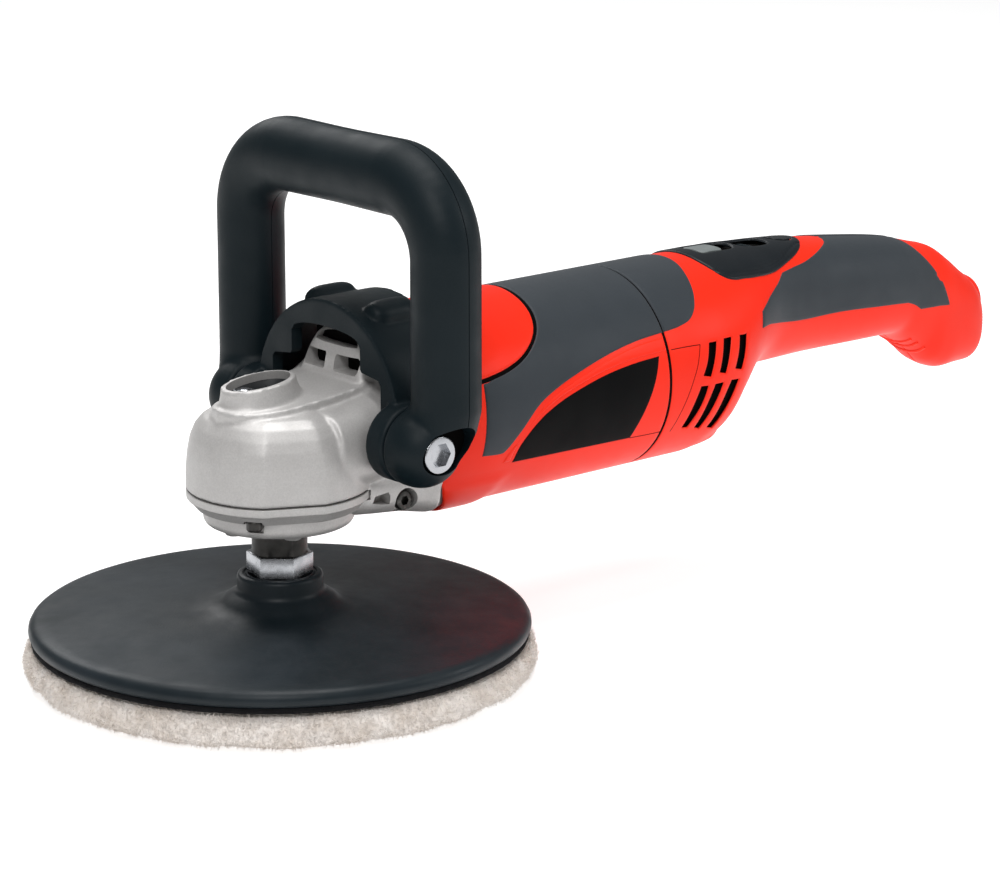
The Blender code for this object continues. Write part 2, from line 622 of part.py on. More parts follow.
def cut_controls(target):
    """Openings for the slide switch, the speed wheel and the power button."""
    for low, high in (((SLIDER_X - 0.0080, -0.0062, 0.110), (SLIDER_X + 0.0080, 0.0062, 0.140)),
                      ((WHEEL_X - 0.0085, -0.0050, 0.110), (WHEEL_X + 0.0085, 0.0050, 0.140)),
                      ((POWER_X - 0.0068, -0.0048, 0.110), (POWER_X + 0.0068, 0.0048, 0.140))):
        combine(target, box("control_opening", low, high, BLACK_PLASTIC), solver="MANIFOLD")


def make_rear_skins():
    """Soft grips on both sides, the control panel on top and the cord gland at the end."""
    under, over = SKIN_INSET - GAP, -0.0003
    for word, angles in (("right", (8, 72)), ("left", (172, 108))):
        patch(f"rear_soft_grip_{word}", GRIP_STATIONS, (0.2590, 0.3330), angles, under, over, GREY_GRIP,
              rows=6)
    panel = patch("control_panel", GRIP_STATIONS, (0.1950, 0.2580), (58, 122), under, -0.0006,
                  BLACK_PLASTIC, rows=4)
    cut_controls(panel)
    patch("shoulder_soft_grip", GRIP_STATIONS, (0.1570, 0.1815), (32, 148), under, over, GREY_GRIP,
          rows=16)
    ring("cord_gland", 0.0034, 0.0062, 0.3515, 0.3612, BLACK_RUBBER, at=(0, 0, 0.0765), axis="X",
         steps=20)


def make_controls():
    """Slide switch, speed wheel and power button, with the switch block and the speed board."""
    box("slide_switch", (SLIDER_X - 0.0045, -0.0058, 0.1205), (SLIDER_X + 0.0040, 0.0058, 0.1256),
        GREY_GRIP, bevel=0.0004)
    ring("speed_wheel", 0.0022 + GAP, WHEEL_R, -0.0042, 0.0042, BLACK_PLASTIC,
         at=(WHEEL_X, 0, WHEEL_Z), axis="Y", steps=28)
    button = disc("power_button", 0.0040, 0.1150, 0.1238, BLACK_PLASTIC, steps=20)
    button.scale.x = 1.5
    button.location.x = POWER_X
    block = box("switch_block", (0.1965, -0.0090, 0.0960), (0.2195, 0.0090, 0.1195), BLACK_PLASTIC)
    combine(block, box("block_bore", (0.1950, -0.02, 0.1100), (0.1985, 0.02, 0.1300), BLACK_PLASTIC))
    board = box("speed_board", (0.2215, -0.0085, 0.0965), (0.2640, 0.0085, 0.0981), BLACK_PLASTIC)
    post = box("wheel_post", (WHEEL_X - 0.0020, -0.0060, 0.0975), (WHEEL_X + 0.0020, -0.0048, 0.1150),
               BLACK_PLASTIC)
    combine(board, post, "UNION")
    axle = disc("wheel_axle", 0.0022, -0.0055, 0.0042, BLACK_PLASTIC, at=(WHEEL_X, 0, WHEEL_Z),
                axis="Y", steps=16)
    combine(board, axle, "UNION")


# ---------------------------------------------------------------- collar and D-handle

def arch_outline(outer_r, half_width, foot_z, steps=14):
    """Points (y, z) of an arch: a half circle over two straight legs."""
    arc = []
    for i in range(steps + 1):
        angle = pi * i / steps
        arc.append((outer_r * cos(angle), COLLAR_Z + outer_r * sin(angle)))
    return [(half_width, foot_z)] + arc + [(-half_width, foot_z)]


def make_collar():
    """The black clamp arch over the neck, with a round foot on each side and two lugs on top."""
    rings = []
    for x in (COLLAR_X0, COLLAR_X1):
        outline = arch_outline(COLLAR_R, COLLAR_R, 0.0800)
        rings.append([(x, y, z) for y, z in outline])
    collar = loft("handle_collar", rings, BLACK_PLASTIC)
    for side in (-1, 1):
        foot = disc("collar_foot", 0.0141, 0.0370, BOSS_IN - GAP, BLACK_PLASTIC, steps=24,
                    at=(BOLT_X, 0, BOLT_Z), axis="Y")
        if side < 0:
            foot.matrix_world = Matrix.Scale(-1, 4, (0, 1, 0)) @ foot.matrix_world
        combine(collar, foot, "UNION")
        lean = radians(26) * side
        lug = disc("collar_lug", 0.0052, 0.0290, 0.0470, BLACK_PLASTIC, steps=16, axis="X",
                   at=(0, COLLAR_R * sin(lean), COLLAR_Z + COLLAR_R * cos(lean)))
        combine(collar, lug, "UNION")
    inner = []
    for x in (COLLAR_X0 - 0.02, COLLAR_X1 + 0.02):
        outline = arch_outline(COLLAR_IN, COLLAR_IN, 0.0600)
        inner.append([(x, y, z) for y, z in outline])
    combine(collar, loft("collar_hollow", inner, BLACK_PLASTIC))
    combine(collar, disc("collar_bolt_hole", 0.0030 + GAP, -0.06, 0.06, BLACK_PLASTIC,
                         at=(BOLT_X, 0, BOLT_Z), axis="Y", steps=16))


def handle_line(corner_steps=5):
    """The D-handle's centre line from one bolt axis over the bar to the other."""
    turn_y, turn_z = LEG_Y - CORNER_R, BAR_Z - CORNER_R
    points = [(BOLT_X + 0.0035, -LEG_Y, BOLT_Z), (LEG_X - 0.0008, -LEG_Y, 0.1020),
              (LEG_X, -LEG_Y, 0.1120), (LEG_X, -LEG_Y, turn_z)]
    for i in range(1, corner_steps + 1):
        angle = pi / 2 * i / corner_steps
        points.append((LEG_X, -turn_y - CORNER_R * cos(angle), turn_z + CORNER_R * sin(angle)))
    return points + [(x, -y, z) for x, y, z in reversed(points)]


def make_handle():
    """The D-handle's front and rear shells, parted on the plane of its legs."""
    for word, low, high in (("front", 0.0, LEG_X - GAP / 2), ("rear", LEG_X + GAP / 2, 0.08)):
        shell = bent_rod(f"handle_shell_{word}", handle_line(), LEG_R, BLACK_PLASTIC)
        for side in (-1, 1):
            add_boss(shell, side)
        combine(shell, bent_rod("handle_hollow", handle_line()[1:-1], LEG_R - 0.0030, BLACK_PLASTIC,
                                resolution=1), solver="MANIFOLD")
        for side in (-1, 1):
            bore_boss(shell, side)
        combine(shell, box("shell_space", (low, -0.09, 0.06), (high, 0.09, 0.21), BLACK_PLASTIC),
                "INTERSECT", "MANIFOLD")
    for side, word in ((-1, "left"), (1, "right")):
        make_bolt(side, word)


def mirrored_turn(name, profile, mat, side, steps=20):
    """A turned piece on the clamp bolt's axis, on either side of the tool."""
    piece = turned(name, profile, mat, at=(BOLT_X, 0, BOLT_Z), axis="Y", steps=steps)
    if side < 0:
        piece.matrix_world = Matrix.Rotation(pi, 4, Vector((0, 0, 1))) @ piece.matrix_world
        piece.location.x = BOLT_X
    return piece


def add_boss(shell, side):
    """Join the round boss that sits against the collar's foot, and trim the leg's inner side."""
    boss = mirrored_turn("handle_boss", [
        (0, BOSS_OUT), (0.0100, BOSS_OUT), (0.0135, BOSS_OUT - 0.0015), (BOSS_R, 0.0600),
        (BOSS_R, 0.0520), (0.0141, BOSS_IN), (0, BOSS_IN)], BLACK_PLASTIC, side, 20)
    trim = mirrored_turn("foot_clearance", [
        (0, 0.0560), (0.0146, 0.0560), (0.0146, 0.0300), (0, 0.0300)], BLACK_PLASTIC, side, 20)
    combine(shell, trim, solver="MANIFOLD")
    combine(shell, boss, "UNION", "MANIFOLD")


def bore_boss(shell, side):
    """Counterbore and hole for the clamp bolt."""
    head = mirrored_turn("bolt_recess", [
        (0, 0.0800), (0.0074, 0.0800), (0.0074, 0.0545), (0, 0.0545)], BLACK_PLASTIC, side)
    combine(shell, head, solver="MANIFOLD")
    hole = mirrored_turn("bolt_hole", [
        (0, 0.0800), (0.0033, 0.0800), (0.0033, 0.0300), (0, 0.0300)], BLACK_PLASTIC, side, 16)
    combine(shell, hole, solver="MANIFOLD")


def make_bolt(side, word):
    """A socket-head clamp bolt that holds the handle against the collar."""
    bolt = mirrored_turn(f"handle_bolt_{word}", [
        (0, 0.0600), (0.0060, 0.0600), (0.0067, 0.0593), (0.0067, 0.0545 + GAP),
        (0.0030, 0.0545 + GAP), (0.0030, 0.0310), (0, 0.0310)], BRIGHT_STEEL, side)
    bm = bmesh.new()
    bmesh.ops.create_cone(bm, cap_ends=True, segments=6, radius1=0.0040, radius2=0.0040, depth=0.006)
    socket = add("hex_socket", mesh_from(bm, "hex_socket"), BRIGHT_STEEL)
    socket.matrix_world = Matrix.Translation((BOLT_X, side * 0.0600, BOLT_Z)) @ TURN["Y"]
    combine(bolt, socket)


make_pad_stack()
make_spur_pair()
make_bevel_pair()
make_gear_housing()
make_bearing_flange()
make_lock_button()
make_motor()
make_motor_housing()
make_handle_halves()
make_rear_skins()
make_controls()
make_collar()
make_handle()
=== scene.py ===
"""Looks for a rotary polisher with a D-handle, a rubber backing pad and a wool bonnet.

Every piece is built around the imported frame: +Z up, the spindle on the Z axis, the armature axis
along +X. Sizes are metres unless a name says otherwise. "Left" is the -Y side.
"""

import logging
import math
from dataclasses import dataclass
from enum import Enum
from typing import Callable, Iterable, Sequence

import bmesh
import bpy
import numpy as np
from mathutils import Matrix, Vector, noise
from mathutils.geometry import delaunay_2d_cdt


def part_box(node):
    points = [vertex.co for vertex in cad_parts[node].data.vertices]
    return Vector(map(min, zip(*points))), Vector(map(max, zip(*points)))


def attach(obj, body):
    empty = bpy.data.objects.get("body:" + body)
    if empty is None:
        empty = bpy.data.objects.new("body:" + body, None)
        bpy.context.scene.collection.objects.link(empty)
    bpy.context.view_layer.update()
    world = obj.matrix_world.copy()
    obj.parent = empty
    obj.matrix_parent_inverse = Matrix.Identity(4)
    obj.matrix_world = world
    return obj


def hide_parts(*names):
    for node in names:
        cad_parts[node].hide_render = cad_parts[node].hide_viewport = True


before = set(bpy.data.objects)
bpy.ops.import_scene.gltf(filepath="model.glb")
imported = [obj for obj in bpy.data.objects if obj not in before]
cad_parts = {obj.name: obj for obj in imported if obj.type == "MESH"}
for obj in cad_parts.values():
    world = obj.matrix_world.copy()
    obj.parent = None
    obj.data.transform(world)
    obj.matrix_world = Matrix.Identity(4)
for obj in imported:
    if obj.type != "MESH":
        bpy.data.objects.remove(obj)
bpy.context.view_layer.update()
LOG = logging.getLogger("rotary_polisher")

MM = 0.001
BODY_R = 38.5 * MM          # radius of the motor barrel
AXIS_Z = 87.8 * MM          # height of the armature axis
SMOOTH_ANGLE = math.radians(38)

Array = np.ndarray
Ring = Sequence[tuple[float, float]]


class Body(str, Enum):
    """The frame's moving bodies that visible pieces ride on."""

    TOOL = "tool"
    SPINDLE = "spindle"
    LOCK = "lock_button"
    SLIDER = "slide_switch"
    WHEEL = "speed_wheel"
    BUTTON = "power_button"
    HANDLE = "handle"


# ---------------------------------------------------------------------------------- finishes


@dataclass(frozen=True)
class Finish:
    """One material: a base colour with drifting patches, grain, speckle, bump and edge wear.

    Args:
        name: The material's name.
        slot: The record's material slot that it belongs to; not used.
        colour: Main linear colour.
        shade: Linear colour of the patches.
        roughness: Lowest and highest roughness.
        metallic: 0 to 1.
        patch: Size of a colour patch.
        share: How far a patch moves from colour to shade, 0 to 1.
        grain: Size of the bump's grain.
        depth: Depth of the bump.
        speckle: Strength of the fine light and dark speckle.
        sheen: Strength of the sheen.
        wear: Linear colour that rubbed edges turn to, or None.
        specular: Specular level.
    """

    name: str
    slot: str
    colour: tuple[float, float, float]
    shade: tuple[float, float, float]
    roughness: tuple[float, float]
    metallic: float = 0.0
    patch: float = 0.02
    share: float = 0.6
    grain: float = 0.0006
    depth: float = 0.00002
    speckle: float = 0.0
    sheen: float = 0.0
    wear: tuple[float, float, float] | None = None
    specular: float = 0.5

    def material(self) -> bpy.types.Material:
        """The node material, built once.

        Returns:
            The material of this finish.
        """
        made = bpy.data.materials.get(self.name)
        if made:
            return made
        made = bpy.data.materials.new(self.name)
        made.use_nodes = True
        made.diffuse_color = (*self.colour, 1)
        nodes, links = made.node_tree.nodes, made.node_tree.links
        shader = nodes["Principled BSDF"]
        place = nodes.new("ShaderNodeTexCoord").outputs["Object"]
        drift = self._noise(nodes, links, place, 1 / self.patch, 4.0)
        tint = self._mix(nodes, links, drift, (0.35, 0.68), self.colour, self.shade)
        fine = self._noise(nodes, links, place, 1 / self.grain, 2.0)
        if self.speckle:
            tint = self._speckled(nodes, links, place, tint)
        if self.wear:
            tint = self._worn(nodes, links, tint, fine)
        links.new(tint, shader.inputs["Base Color"])
        gloss = nodes.new("ShaderNodeMapRange")
        gloss.inputs["From Min"].default_value = 0.3
        gloss.inputs["From Max"].default_value = 0.7
        gloss.inputs["To Min"].default_value, gloss.inputs["To Max"].default_value = self.roughness
        smear = self._noise(nodes, links, place, 2.6 / self.patch, 6.0)
        links.new(smear, gloss.inputs["Value"])
        links.new(gloss.outputs["Result"], shader.inputs["Roughness"])
        bump = nodes.new("ShaderNodeBump")
        bump.inputs["Strength"].default_value = 1.0
        bump.inputs["Distance"].default_value = self.depth
        links.new(fine, bump.inputs["Height"])
        links.new(bump.outputs["Normal"], shader.inputs["Normal"])
        shader.inputs["Metallic"].default_value = self.metallic
        shader.inputs["Sheen Weight"].default_value = self.sheen
        shader.inputs["Sheen Roughness"].default_value = 0.5
        shader.inputs["Specular IOR Level"].default_value = self.specular
        return made

    @staticmethod
    def _noise(nodes, links, place, scale: float, detail: float) -> bpy.types.NodeSocket:
        """A noise texture's value at a scale."""
        node = nodes.new("ShaderNodeTexNoise")
        node.inputs["Scale"].default_value = scale
        node.inputs["Detail"].default_value = detail
        links.new(place, node.inputs["Vector"])
        return node.outputs["Fac"]

    def _mix(self, nodes, links, fac, span, first, second) -> bpy.types.NodeSocket:
        """A colour that goes from first to second as fac crosses span."""
        ramp = nodes.new("ShaderNodeValToRGB")
        ramp.color_ramp.elements[0].position, ramp.color_ramp.elements[1].position = span
        ramp.color_ramp.elements[0].color = (*first, 1)
        mixed = [a + (b - a) * self.share for a, b in zip(first, second)]
        ramp.color_ramp.elements[1].color = (*mixed, 1)
        links.new(fac, ramp.inputs["Fac"])
        return ramp.outputs["Color"]

    def _speckled(self, nodes, links, place, tint) -> bpy.types.NodeSocket:
        """The tint with a fine cell speckle, as in metallic paint or fleece."""
        cells = nodes.new("ShaderNodeTexVoronoi")
        cells.inputs["Scale"].default_value = 0.8 / self.grain
        links.new(place, cells.inputs["Vector"])
        grey = nodes.new("ShaderNodeMapRange")
        grey.inputs["To Min"].default_value = 1 - self.speckle
        grey.inputs["To Max"].default_value = 1 + self.speckle
        links.new(cells.outputs["Color"], grey.inputs["Value"])
        lit = nodes.new("ShaderNodeMix")
        lit.data_type, lit.blend_type = "RGBA", "MULTIPLY"
        lit.inputs["Factor"].default_value = 1.0
        links.new(tint, lit.inputs["A"])
        links.new(grey.outputs["Result"], lit.inputs["B"])
        return lit.outputs["Result"]

    def _worn(self, nodes, links, tint, fine) -> bpy.types.NodeSocket:
        """The tint rubbed lighter where the surface turns sharply outwards."""
        edge = nodes.new("ShaderNodeNewGeometry").outputs["Pointiness"]
        ramp = nodes.new("ShaderNodeMapRange")
        ramp.inputs["From Min"].default_value = 0.53
        ramp.inputs["From Max"].default_value = 0.62
        ramp.inputs["To Max"].default_value = 0.55
        links.new(edge, ramp.inputs["Value"])
        broken = nodes.new("ShaderNodeMath")
        broken.operation = "MULTIPLY"
        links.new(ramp.outputs["Result"], broken.inputs[0])
        links.new(fine, broken.inputs[1])
        rubbed = nodes.new("ShaderNodeMix")
        rubbed.data_type = "RGBA"
        links.new(broken.outputs["Value"], rubbed.inputs["Factor"])
        links.new(tint, rubbed.inputs["A"])
        rubbed.inputs["B"].default_value = (*self.wear, 1)
        return rubbed.outputs["Result"]


RED = Finish("red_abs", "red_plastic", (0.90, 0.026, 0.008), (0.80, 0.018, 0.005), (0.34, 0.46),
             patch=0.05, grain=0.0007, depth=0.000012, wear=(0.95, 0.08, 0.04), specular=0.14)
GRIP = Finish("slate_soft_grip", "grey_grip", (0.027, 0.034, 0.041), (0.021, 0.027, 0.033),
              (0.48, 0.62), patch=0.03, grain=0.0005, depth=0.00002, sheen=0.06,
              wear=(0.06, 0.07, 0.08), specular=0.24)
BLACK = Finish("black_nylon", "black_plastic", (0.0035, 0.0085, 0.0112), (0.0055, 0.011, 0.0142),
               (0.42, 0.56), patch=0.03, grain=0.0006, depth=0.00003, wear=(0.03, 0.037, 0.042),
               specular=0.16)
PANEL = Finish("dark_panel_plastic", "black_plastic", (0.008, 0.011, 0.014), (0.006, 0.008, 0.010),
               (0.34, 0.46), patch=0.02, grain=0.0006, depth=0.00002, wear=(0.04, 0.045, 0.05),
               specular=0.2)
LABEL = Finish("label_film", "black_plastic", (0.0022, 0.0022, 0.0024), (0.004, 0.004, 0.004),
               (0.50, 0.60), patch=0.03, grain=0.0012, depth=0.000006, specular=0.05)
GLOSS = Finish("glossy_button_plastic", "black_plastic", (0.003, 0.004, 0.005), (0.005, 0.006, 0.008),
               (0.26, 0.34), patch=0.01, grain=0.0010, depth=0.000004, specular=0.3)
# Painted shade: a flat near-black finish for the strips, plates and bands that stand for the shade in slots,
# grooves, crease lines, wells and joints.
SHADOW_GAP = Finish("shadow_gap", "black_plastic", (0.0015, 0.0015, 0.0015), (0.003, 0.002, 0.002),
             (0.8, 0.95), specular=0.05)
RUBBER = Finish("pad_rubber", "black_rubber", (0.005, 0.0095, 0.0125), (0.015, 0.021, 0.026),
                (0.36, 0.52), patch=0.035, share=0.9, grain=0.0009, depth=0.00004,
                wear=(0.035, 0.042, 0.048), specular=0.2)
HOOKS = Finish("hook_fabric", "hook_layer", (0.004, 0.004, 0.005), (0.009, 0.009, 0.010),
               (0.8, 0.95), patch=0.004, grain=0.0007, depth=0.0004, specular=0.15)
CAST = Finish("painted_die_casting", "cast_metal", (0.50, 0.488, 0.478), (0.44, 0.428, 0.42),
              (0.42, 0.52), metallic=0.35, patch=0.012, share=0.5, grain=0.0004, depth=0.00003,
              speckle=0.07, wear=(0.66, 0.65, 0.64))
CHROME = Finish("chromed_steel", "bright_steel", (0.44, 0.45, 0.47), (0.32, 0.33, 0.35), (0.18, 0.30),
                metallic=1.0, patch=0.008, grain=0.0012, depth=0.00001)
DARK = Finish("blackened_steel", "dark_steel", (0.030, 0.029, 0.028), (0.055, 0.052, 0.048),
              (0.30, 0.48), metallic=0.8, patch=0.006, grain=0.0005, depth=0.00003,
              wear=(0.20, 0.19, 0.18))
TILE = Finish("grey_switch_tile", "grey_grip", (0.17, 0.19, 0.19), (0.13, 0.15, 0.15), (0.40, 0.52),
              patch=0.008, grain=0.0004, depth=0.00002, wear=(0.30, 0.32, 0.32))
WOOL = Finish("lambswool", "wool", (0.85, 0.80, 0.76), (0.62, 0.53, 0.45), (0.85, 1.0), patch=0.011,
              share=0.55, grain=0.0011, depth=0.0005, speckle=0.08, sheen=0.35, specular=0.1)
COPPER = Finish("enamelled_copper", "copper", (0.62, 0.26, 0.12), (0.48, 0.18, 0.07), (0.28, 0.4),
                metallic=1.0, patch=0.004, grain=0.0005, depth=0.00015)
STACK = Finish("lamination_stack", "lamination", (0.30, 0.30, 0.31), (0.20, 0.20, 0.21), (0.4, 0.55),
               metallic=0.9, patch=0.004, grain=0.0005, depth=0.00008)
BRASS = Finish("drawn_brass", "brass", (0.60, 0.42, 0.14), (0.50, 0.34, 0.10), (0.28, 0.4),
               metallic=1.0, patch=0.006)
CARBON = Finish("pressed_carbon", "carbon", (0.02, 0.02, 0.02), (0.035, 0.035, 0.035), (0.6, 0.8),
                patch=0.002, grain=0.0004, depth=0.00005)
BOARD = Finish("circuit_laminate", "circuit_board", (0.02, 0.12, 0.05), (0.03, 0.17, 0.07),
               (0.35, 0.5), patch=0.004, grain=0.0008, depth=0.00003)


# -------------------------------------------------------------------------------- mesh tools


def mesh_of(points: Iterable, faces: Iterable, name: str = "shape") -> bpy.types.Mesh:
    """A mesh from points and faces, with doubles merged and normals outwards.

    Args:
        points: Corner positions.
        faces: Corner numbers of each face.
        name: The mesh's name.

    Returns:
        The new mesh.
    """
    mesh = bpy.data.meshes.new(name)
    mesh.from_pydata([tuple(p) for p in points], [], [tuple(f) for f in faces])
    work = bmesh.new()
    work.from_mesh(mesh)
    bmesh.ops.remove_doubles(work, verts=work.verts, dist=1e-6)
    bmesh.ops.recalc_face_normals(work, faces=work.faces)
    work.to_mesh(mesh)
    work.free()
    return mesh


def loose(mesh: bpy.types.Mesh, name: str) -> bpy.types.Object:
    """An object that holds the mesh, linked to the scene."""
    made = bpy.data.objects.new(name, mesh)
    bpy.context.scene.collection.objects.link(made)
    return made


def settle(obj: bpy.types.Object) -> bpy.types.Object:
    """The object with its modifiers turned into plain mesh.

    Args:
        obj: The object to finish.

    Returns:
        The same object, without modifiers.
    """
    bpy.context.view_layer.update()
    graph = bpy.context.evaluated_depsgraph_get()
    made = bpy.data.meshes.new_from_object(obj.evaluated_get(graph))
    obj.modifiers.clear()
    old, obj.data = obj.data, made
    bpy.data.meshes.remove(old)
    return obj


def shade(obj: bpy.types.Object, angle: float = SMOOTH_ANGLE) -> None:
    """Smooth shading with edges sharper than the angle kept crisp."""
    work = bmesh.new()
    work.from_mesh(obj.data)
    for face in work.faces:
        face.smooth = True
    for edge in work.edges:
        edge.smooth = not (len(edge.link_faces) == 2 and edge.calc_face_angle(0) > angle)
    work.to_mesh(obj.data)
    work.free()


def piece(obj: bpy.types.Object, body: Body, finish: Finish, stands_for: Sequence[str] = (),
          angle: float = SMOOTH_ANGLE) -> bpy.types.Object:
    """Dresses a finished object and hangs it on its body.

    Args:
        obj: A mesh object in place.
        body: The body it rides on.
        finish: Its material.
        stands_for: CAD nodes that it replaces.
        angle: Edges sharper than this stay crisp.

    Returns:
        The object.
    """
    settle(obj)
    shade(obj, angle)
    obj.data.materials.clear()
    obj.data.materials.append(finish.material())
    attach(obj, body.value)
    if stands_for:
        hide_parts(*stands_for)
    LOG.info("%s: %d faces on %s", obj.name, len(obj.data.polygons), body.value)
    return obj


def loft(rings: Sequence[Array]) -> bpy.types.Mesh:
    """Skins rings of equal length, with a fan closing each end.

    Args:
        rings: Arrays of points, one row a point.

    Returns:
        The mesh.
    """
    count = len(rings[0])
    points = [p for ring in rings for p in ring]
    faces = []
    for i in range(len(rings) - 1):
        for j in range(count):
            k = (j + 1) % count
            faces.append((i * count + j, i * count + k, (i + 1) * count + k, (i + 1) * count + j))
    for start, ring in ((0, rings[0]), ((len(rings) - 1) * count, rings[-1])):
        points.append(np.mean(ring, axis=0))
        faces += [(start + j, start + (j + 1) % count, len(points) - 1) for j in range(count)]
    return mesh_of(points, faces)


def turned(profile: Ring, segments: int = 128, plan: Callable[[Array, float], Array] | None = None,
           centre: tuple[float, float] = (0.0, 0.0)) -> bpy.types.Mesh:
    """A solid turned about a vertical axis.

    Args:
        profile: (radius, height) pairs in mm, from the bottom to the top, both ends on the axis.
        segments: Faces around.
        plan: Gives the radius at each azimuth from (azimuths, radius), for a shape that isn't round.
        centre: The axis in X and Y, in mm.

    Returns:
        The mesh.
    """
    turn = np.linspace(0, 2 * math.pi, segments, endpoint=False)
    rings = []
    for radius, height in profile:
        reach = np.full(segments, max(radius, 1e-4)) if plan is None else plan(turn, max(radius, 1e-4))
        rings.append(np.stack([centre[0] + reach * np.cos(turn), centre[1] + reach * np.sin(turn),
                               np.full(segments, height)], 1) * MM)
    return loft(rings)


def rounded(profile: Ring, radius: float, steps: int = 5) -> list[tuple[float, float]]:
    """The profile with each inner corner rounded.

    Args:
        profile: Corner points.
        radius: Largest corner radius, in the profile's units.
        steps: Points in each corner.

    Returns:
        The new profile.
    """
    pts = [np.array(p, float) for p in profile]
    made = [tuple(pts[0])]
    for before, at, after in zip(pts, pts[1:], pts[2:]):
        a, b = before - at, after - at
        la, lb = np.linalg.norm(a), np.linalg.norm(b)
        cut = min(radius, la * 0.45, lb * 0.45)
        p, q = at + a / la * cut, at + b / lb * cut
        made += [tuple((1 - t) ** 2 * p + 2 * t * (1 - t) * at + t * t * q)
                 for t in np.linspace(0, 1, steps)]
    made.append(tuple(pts[-1]))
    return made


def prism(outline: Ring, low: float, high: float, turn: Matrix) -> bpy.types.Mesh:
    """An outline in mm pushed from low to high (metres) along its normal, then placed by turn."""
    rings = [np.array([turn @ Vector((u * MM, v * MM, w)) for u, v in outline]) for w in (low, high)]
    return loft(rings)


def oval(half_u: float, half_v: float, centre: tuple[float, float] = (0, 0), tilt: float = 0.0,
         count: int = 64) -> list[tuple[float, float]]:
    """Points of an ellipse in mm, turned by tilt radians."""
    c, s = math.cos(tilt), math.sin(tilt)
    return [(centre[0] + c * half_u * math.cos(t) - s * half_v * math.sin(t),
             centre[1] + s * half_u * math.cos(t) + c * half_v * math.sin(t))
            for t in np.linspace(0, 2 * math.pi, count, endpoint=False)]


ALONG_X = Matrix(((0, 0, 1, 0), (1, 0, 0, 0), (0, 1, 0, 0), (0, 0, 0, 1)))    # u, v, w -> y, z, x
ALONG_Y = Matrix(((1, 0, 0, 0), (0, 0, 1, 0), (0, 1, 0, 0), (0, 0, 0, 1)))    # u, v, w -> x, z, y
ALONG_Z = Matrix.Identity(4)


def fuse(parts: Sequence[bpy.types.Mesh], name: str, voxel: float, smooths: int) -> bpy.types.Object:
    """Melts overlapping solids into one cast shape with soft inner corners.

    Args:
        parts: Closed meshes.
        name: The new object's name.
        voxel: Grid size of the remesh, in metres.
        smooths: Smoothing rounds, which set how soft the corners are.

    Returns:
        The new object, still without a finish.
    """
    work = bmesh.new()
    for part in parts:
        work.from_mesh(part)
    mesh = bpy.data.meshes.new(name)
    work.to_mesh(mesh)
    work.free()
    obj = loose(mesh, name)
    grid = obj.modifiers.new("melt", "REMESH")
    grid.mode, grid.voxel_size, grid.adaptivity = "VOXEL", voxel, 0.0
    soft = obj.modifiers.new("soften", "SMOOTH")
    soft.factor, soft.iterations = 0.5, smooths
    return settle(obj)


def carve(obj: bpy.types.Object, tools: Sequence[bpy.types.Mesh]) -> bpy.types.Object:
    """Cuts each closed tool mesh out of the object."""
    for number, mesh in enumerate(tools):
        tool = loose(mesh, f"tool_{number}")
        cut = obj.modifiers.new("cut", "BOOLEAN")
        cut.operation, cut.solver, cut.object = "DIFFERENCE", "EXACT", tool
        settle(obj)
        bpy.data.objects.remove(tool)
    return obj


def keep_side(obj: bpy.types.Object, name: str, x: float, sign: int) -> bpy.types.Object:
    """A copy of the object cut off flat at X = x, closed again.

    Args:
        obj: A closed object.
        name: The copy's name.
        x: Where the flat cut is.
        sign: -1 keeps what lies below x, 1 what lies above.

    Returns:
        The new object.
    """
    work = bmesh.new()
    work.from_mesh(obj.data)
    geometry = work.verts[:] + work.edges[:] + work.faces[:]
    bmesh.ops.bisect_plane(work, geom=geometry, plane_co=(x, 0, 0), plane_no=(-sign, 0, 0),
                           clear_outer=True)
    rim = [e for e in work.edges if e.is_boundary]
    bmesh.ops.edgeloop_fill(work, edges=rim)
    bmesh.ops.recalc_face_normals(work, faces=work.faces)
    mesh = bpy.data.meshes.new(name)
    work.to_mesh(mesh)
    work.free()
    return loose(mesh, name)


# ---------------------------------------------------------------------------- housing surface


def eased(x: Array, knots: Array, values: Array) -> Array:
    """Monotone cubic interpolation, so that a fair line runs through the stations."""
    h, d = np.diff(knots), np.diff(values) / np.diff(knots)
    slope = np.zeros(len(knots))
    inner = d[:-1] * d[1:] > 0
    w1, w2 = 2 * h[1:] + h[:-1], h[1:] + 2 * h[:-1]
    with np.errstate(divide="ignore", invalid="ignore"):
        slope[1:-1] = np.where(inner, (w1 + w2) / (w1 / d[:-1] + w2 / d[1:]), 0)
    slope[0], slope[-1] = d[0], d[-1]
    i = np.clip(np.searchsorted(knots, x) - 1, 0, len(knots) - 2)
    t = np.clip((x - knots[i]) / h[i], 0, 1)
    return (values[i] * (2 * t ** 3 - 3 * t ** 2 + 1) + slope[i] * h[i] * (t ** 3 - 2 * t ** 2 + t)
            + values[i + 1] * (3 * t ** 2 - 2 * t ** 3) + slope[i + 1] * h[i] * (t ** 3 - t ** 2))


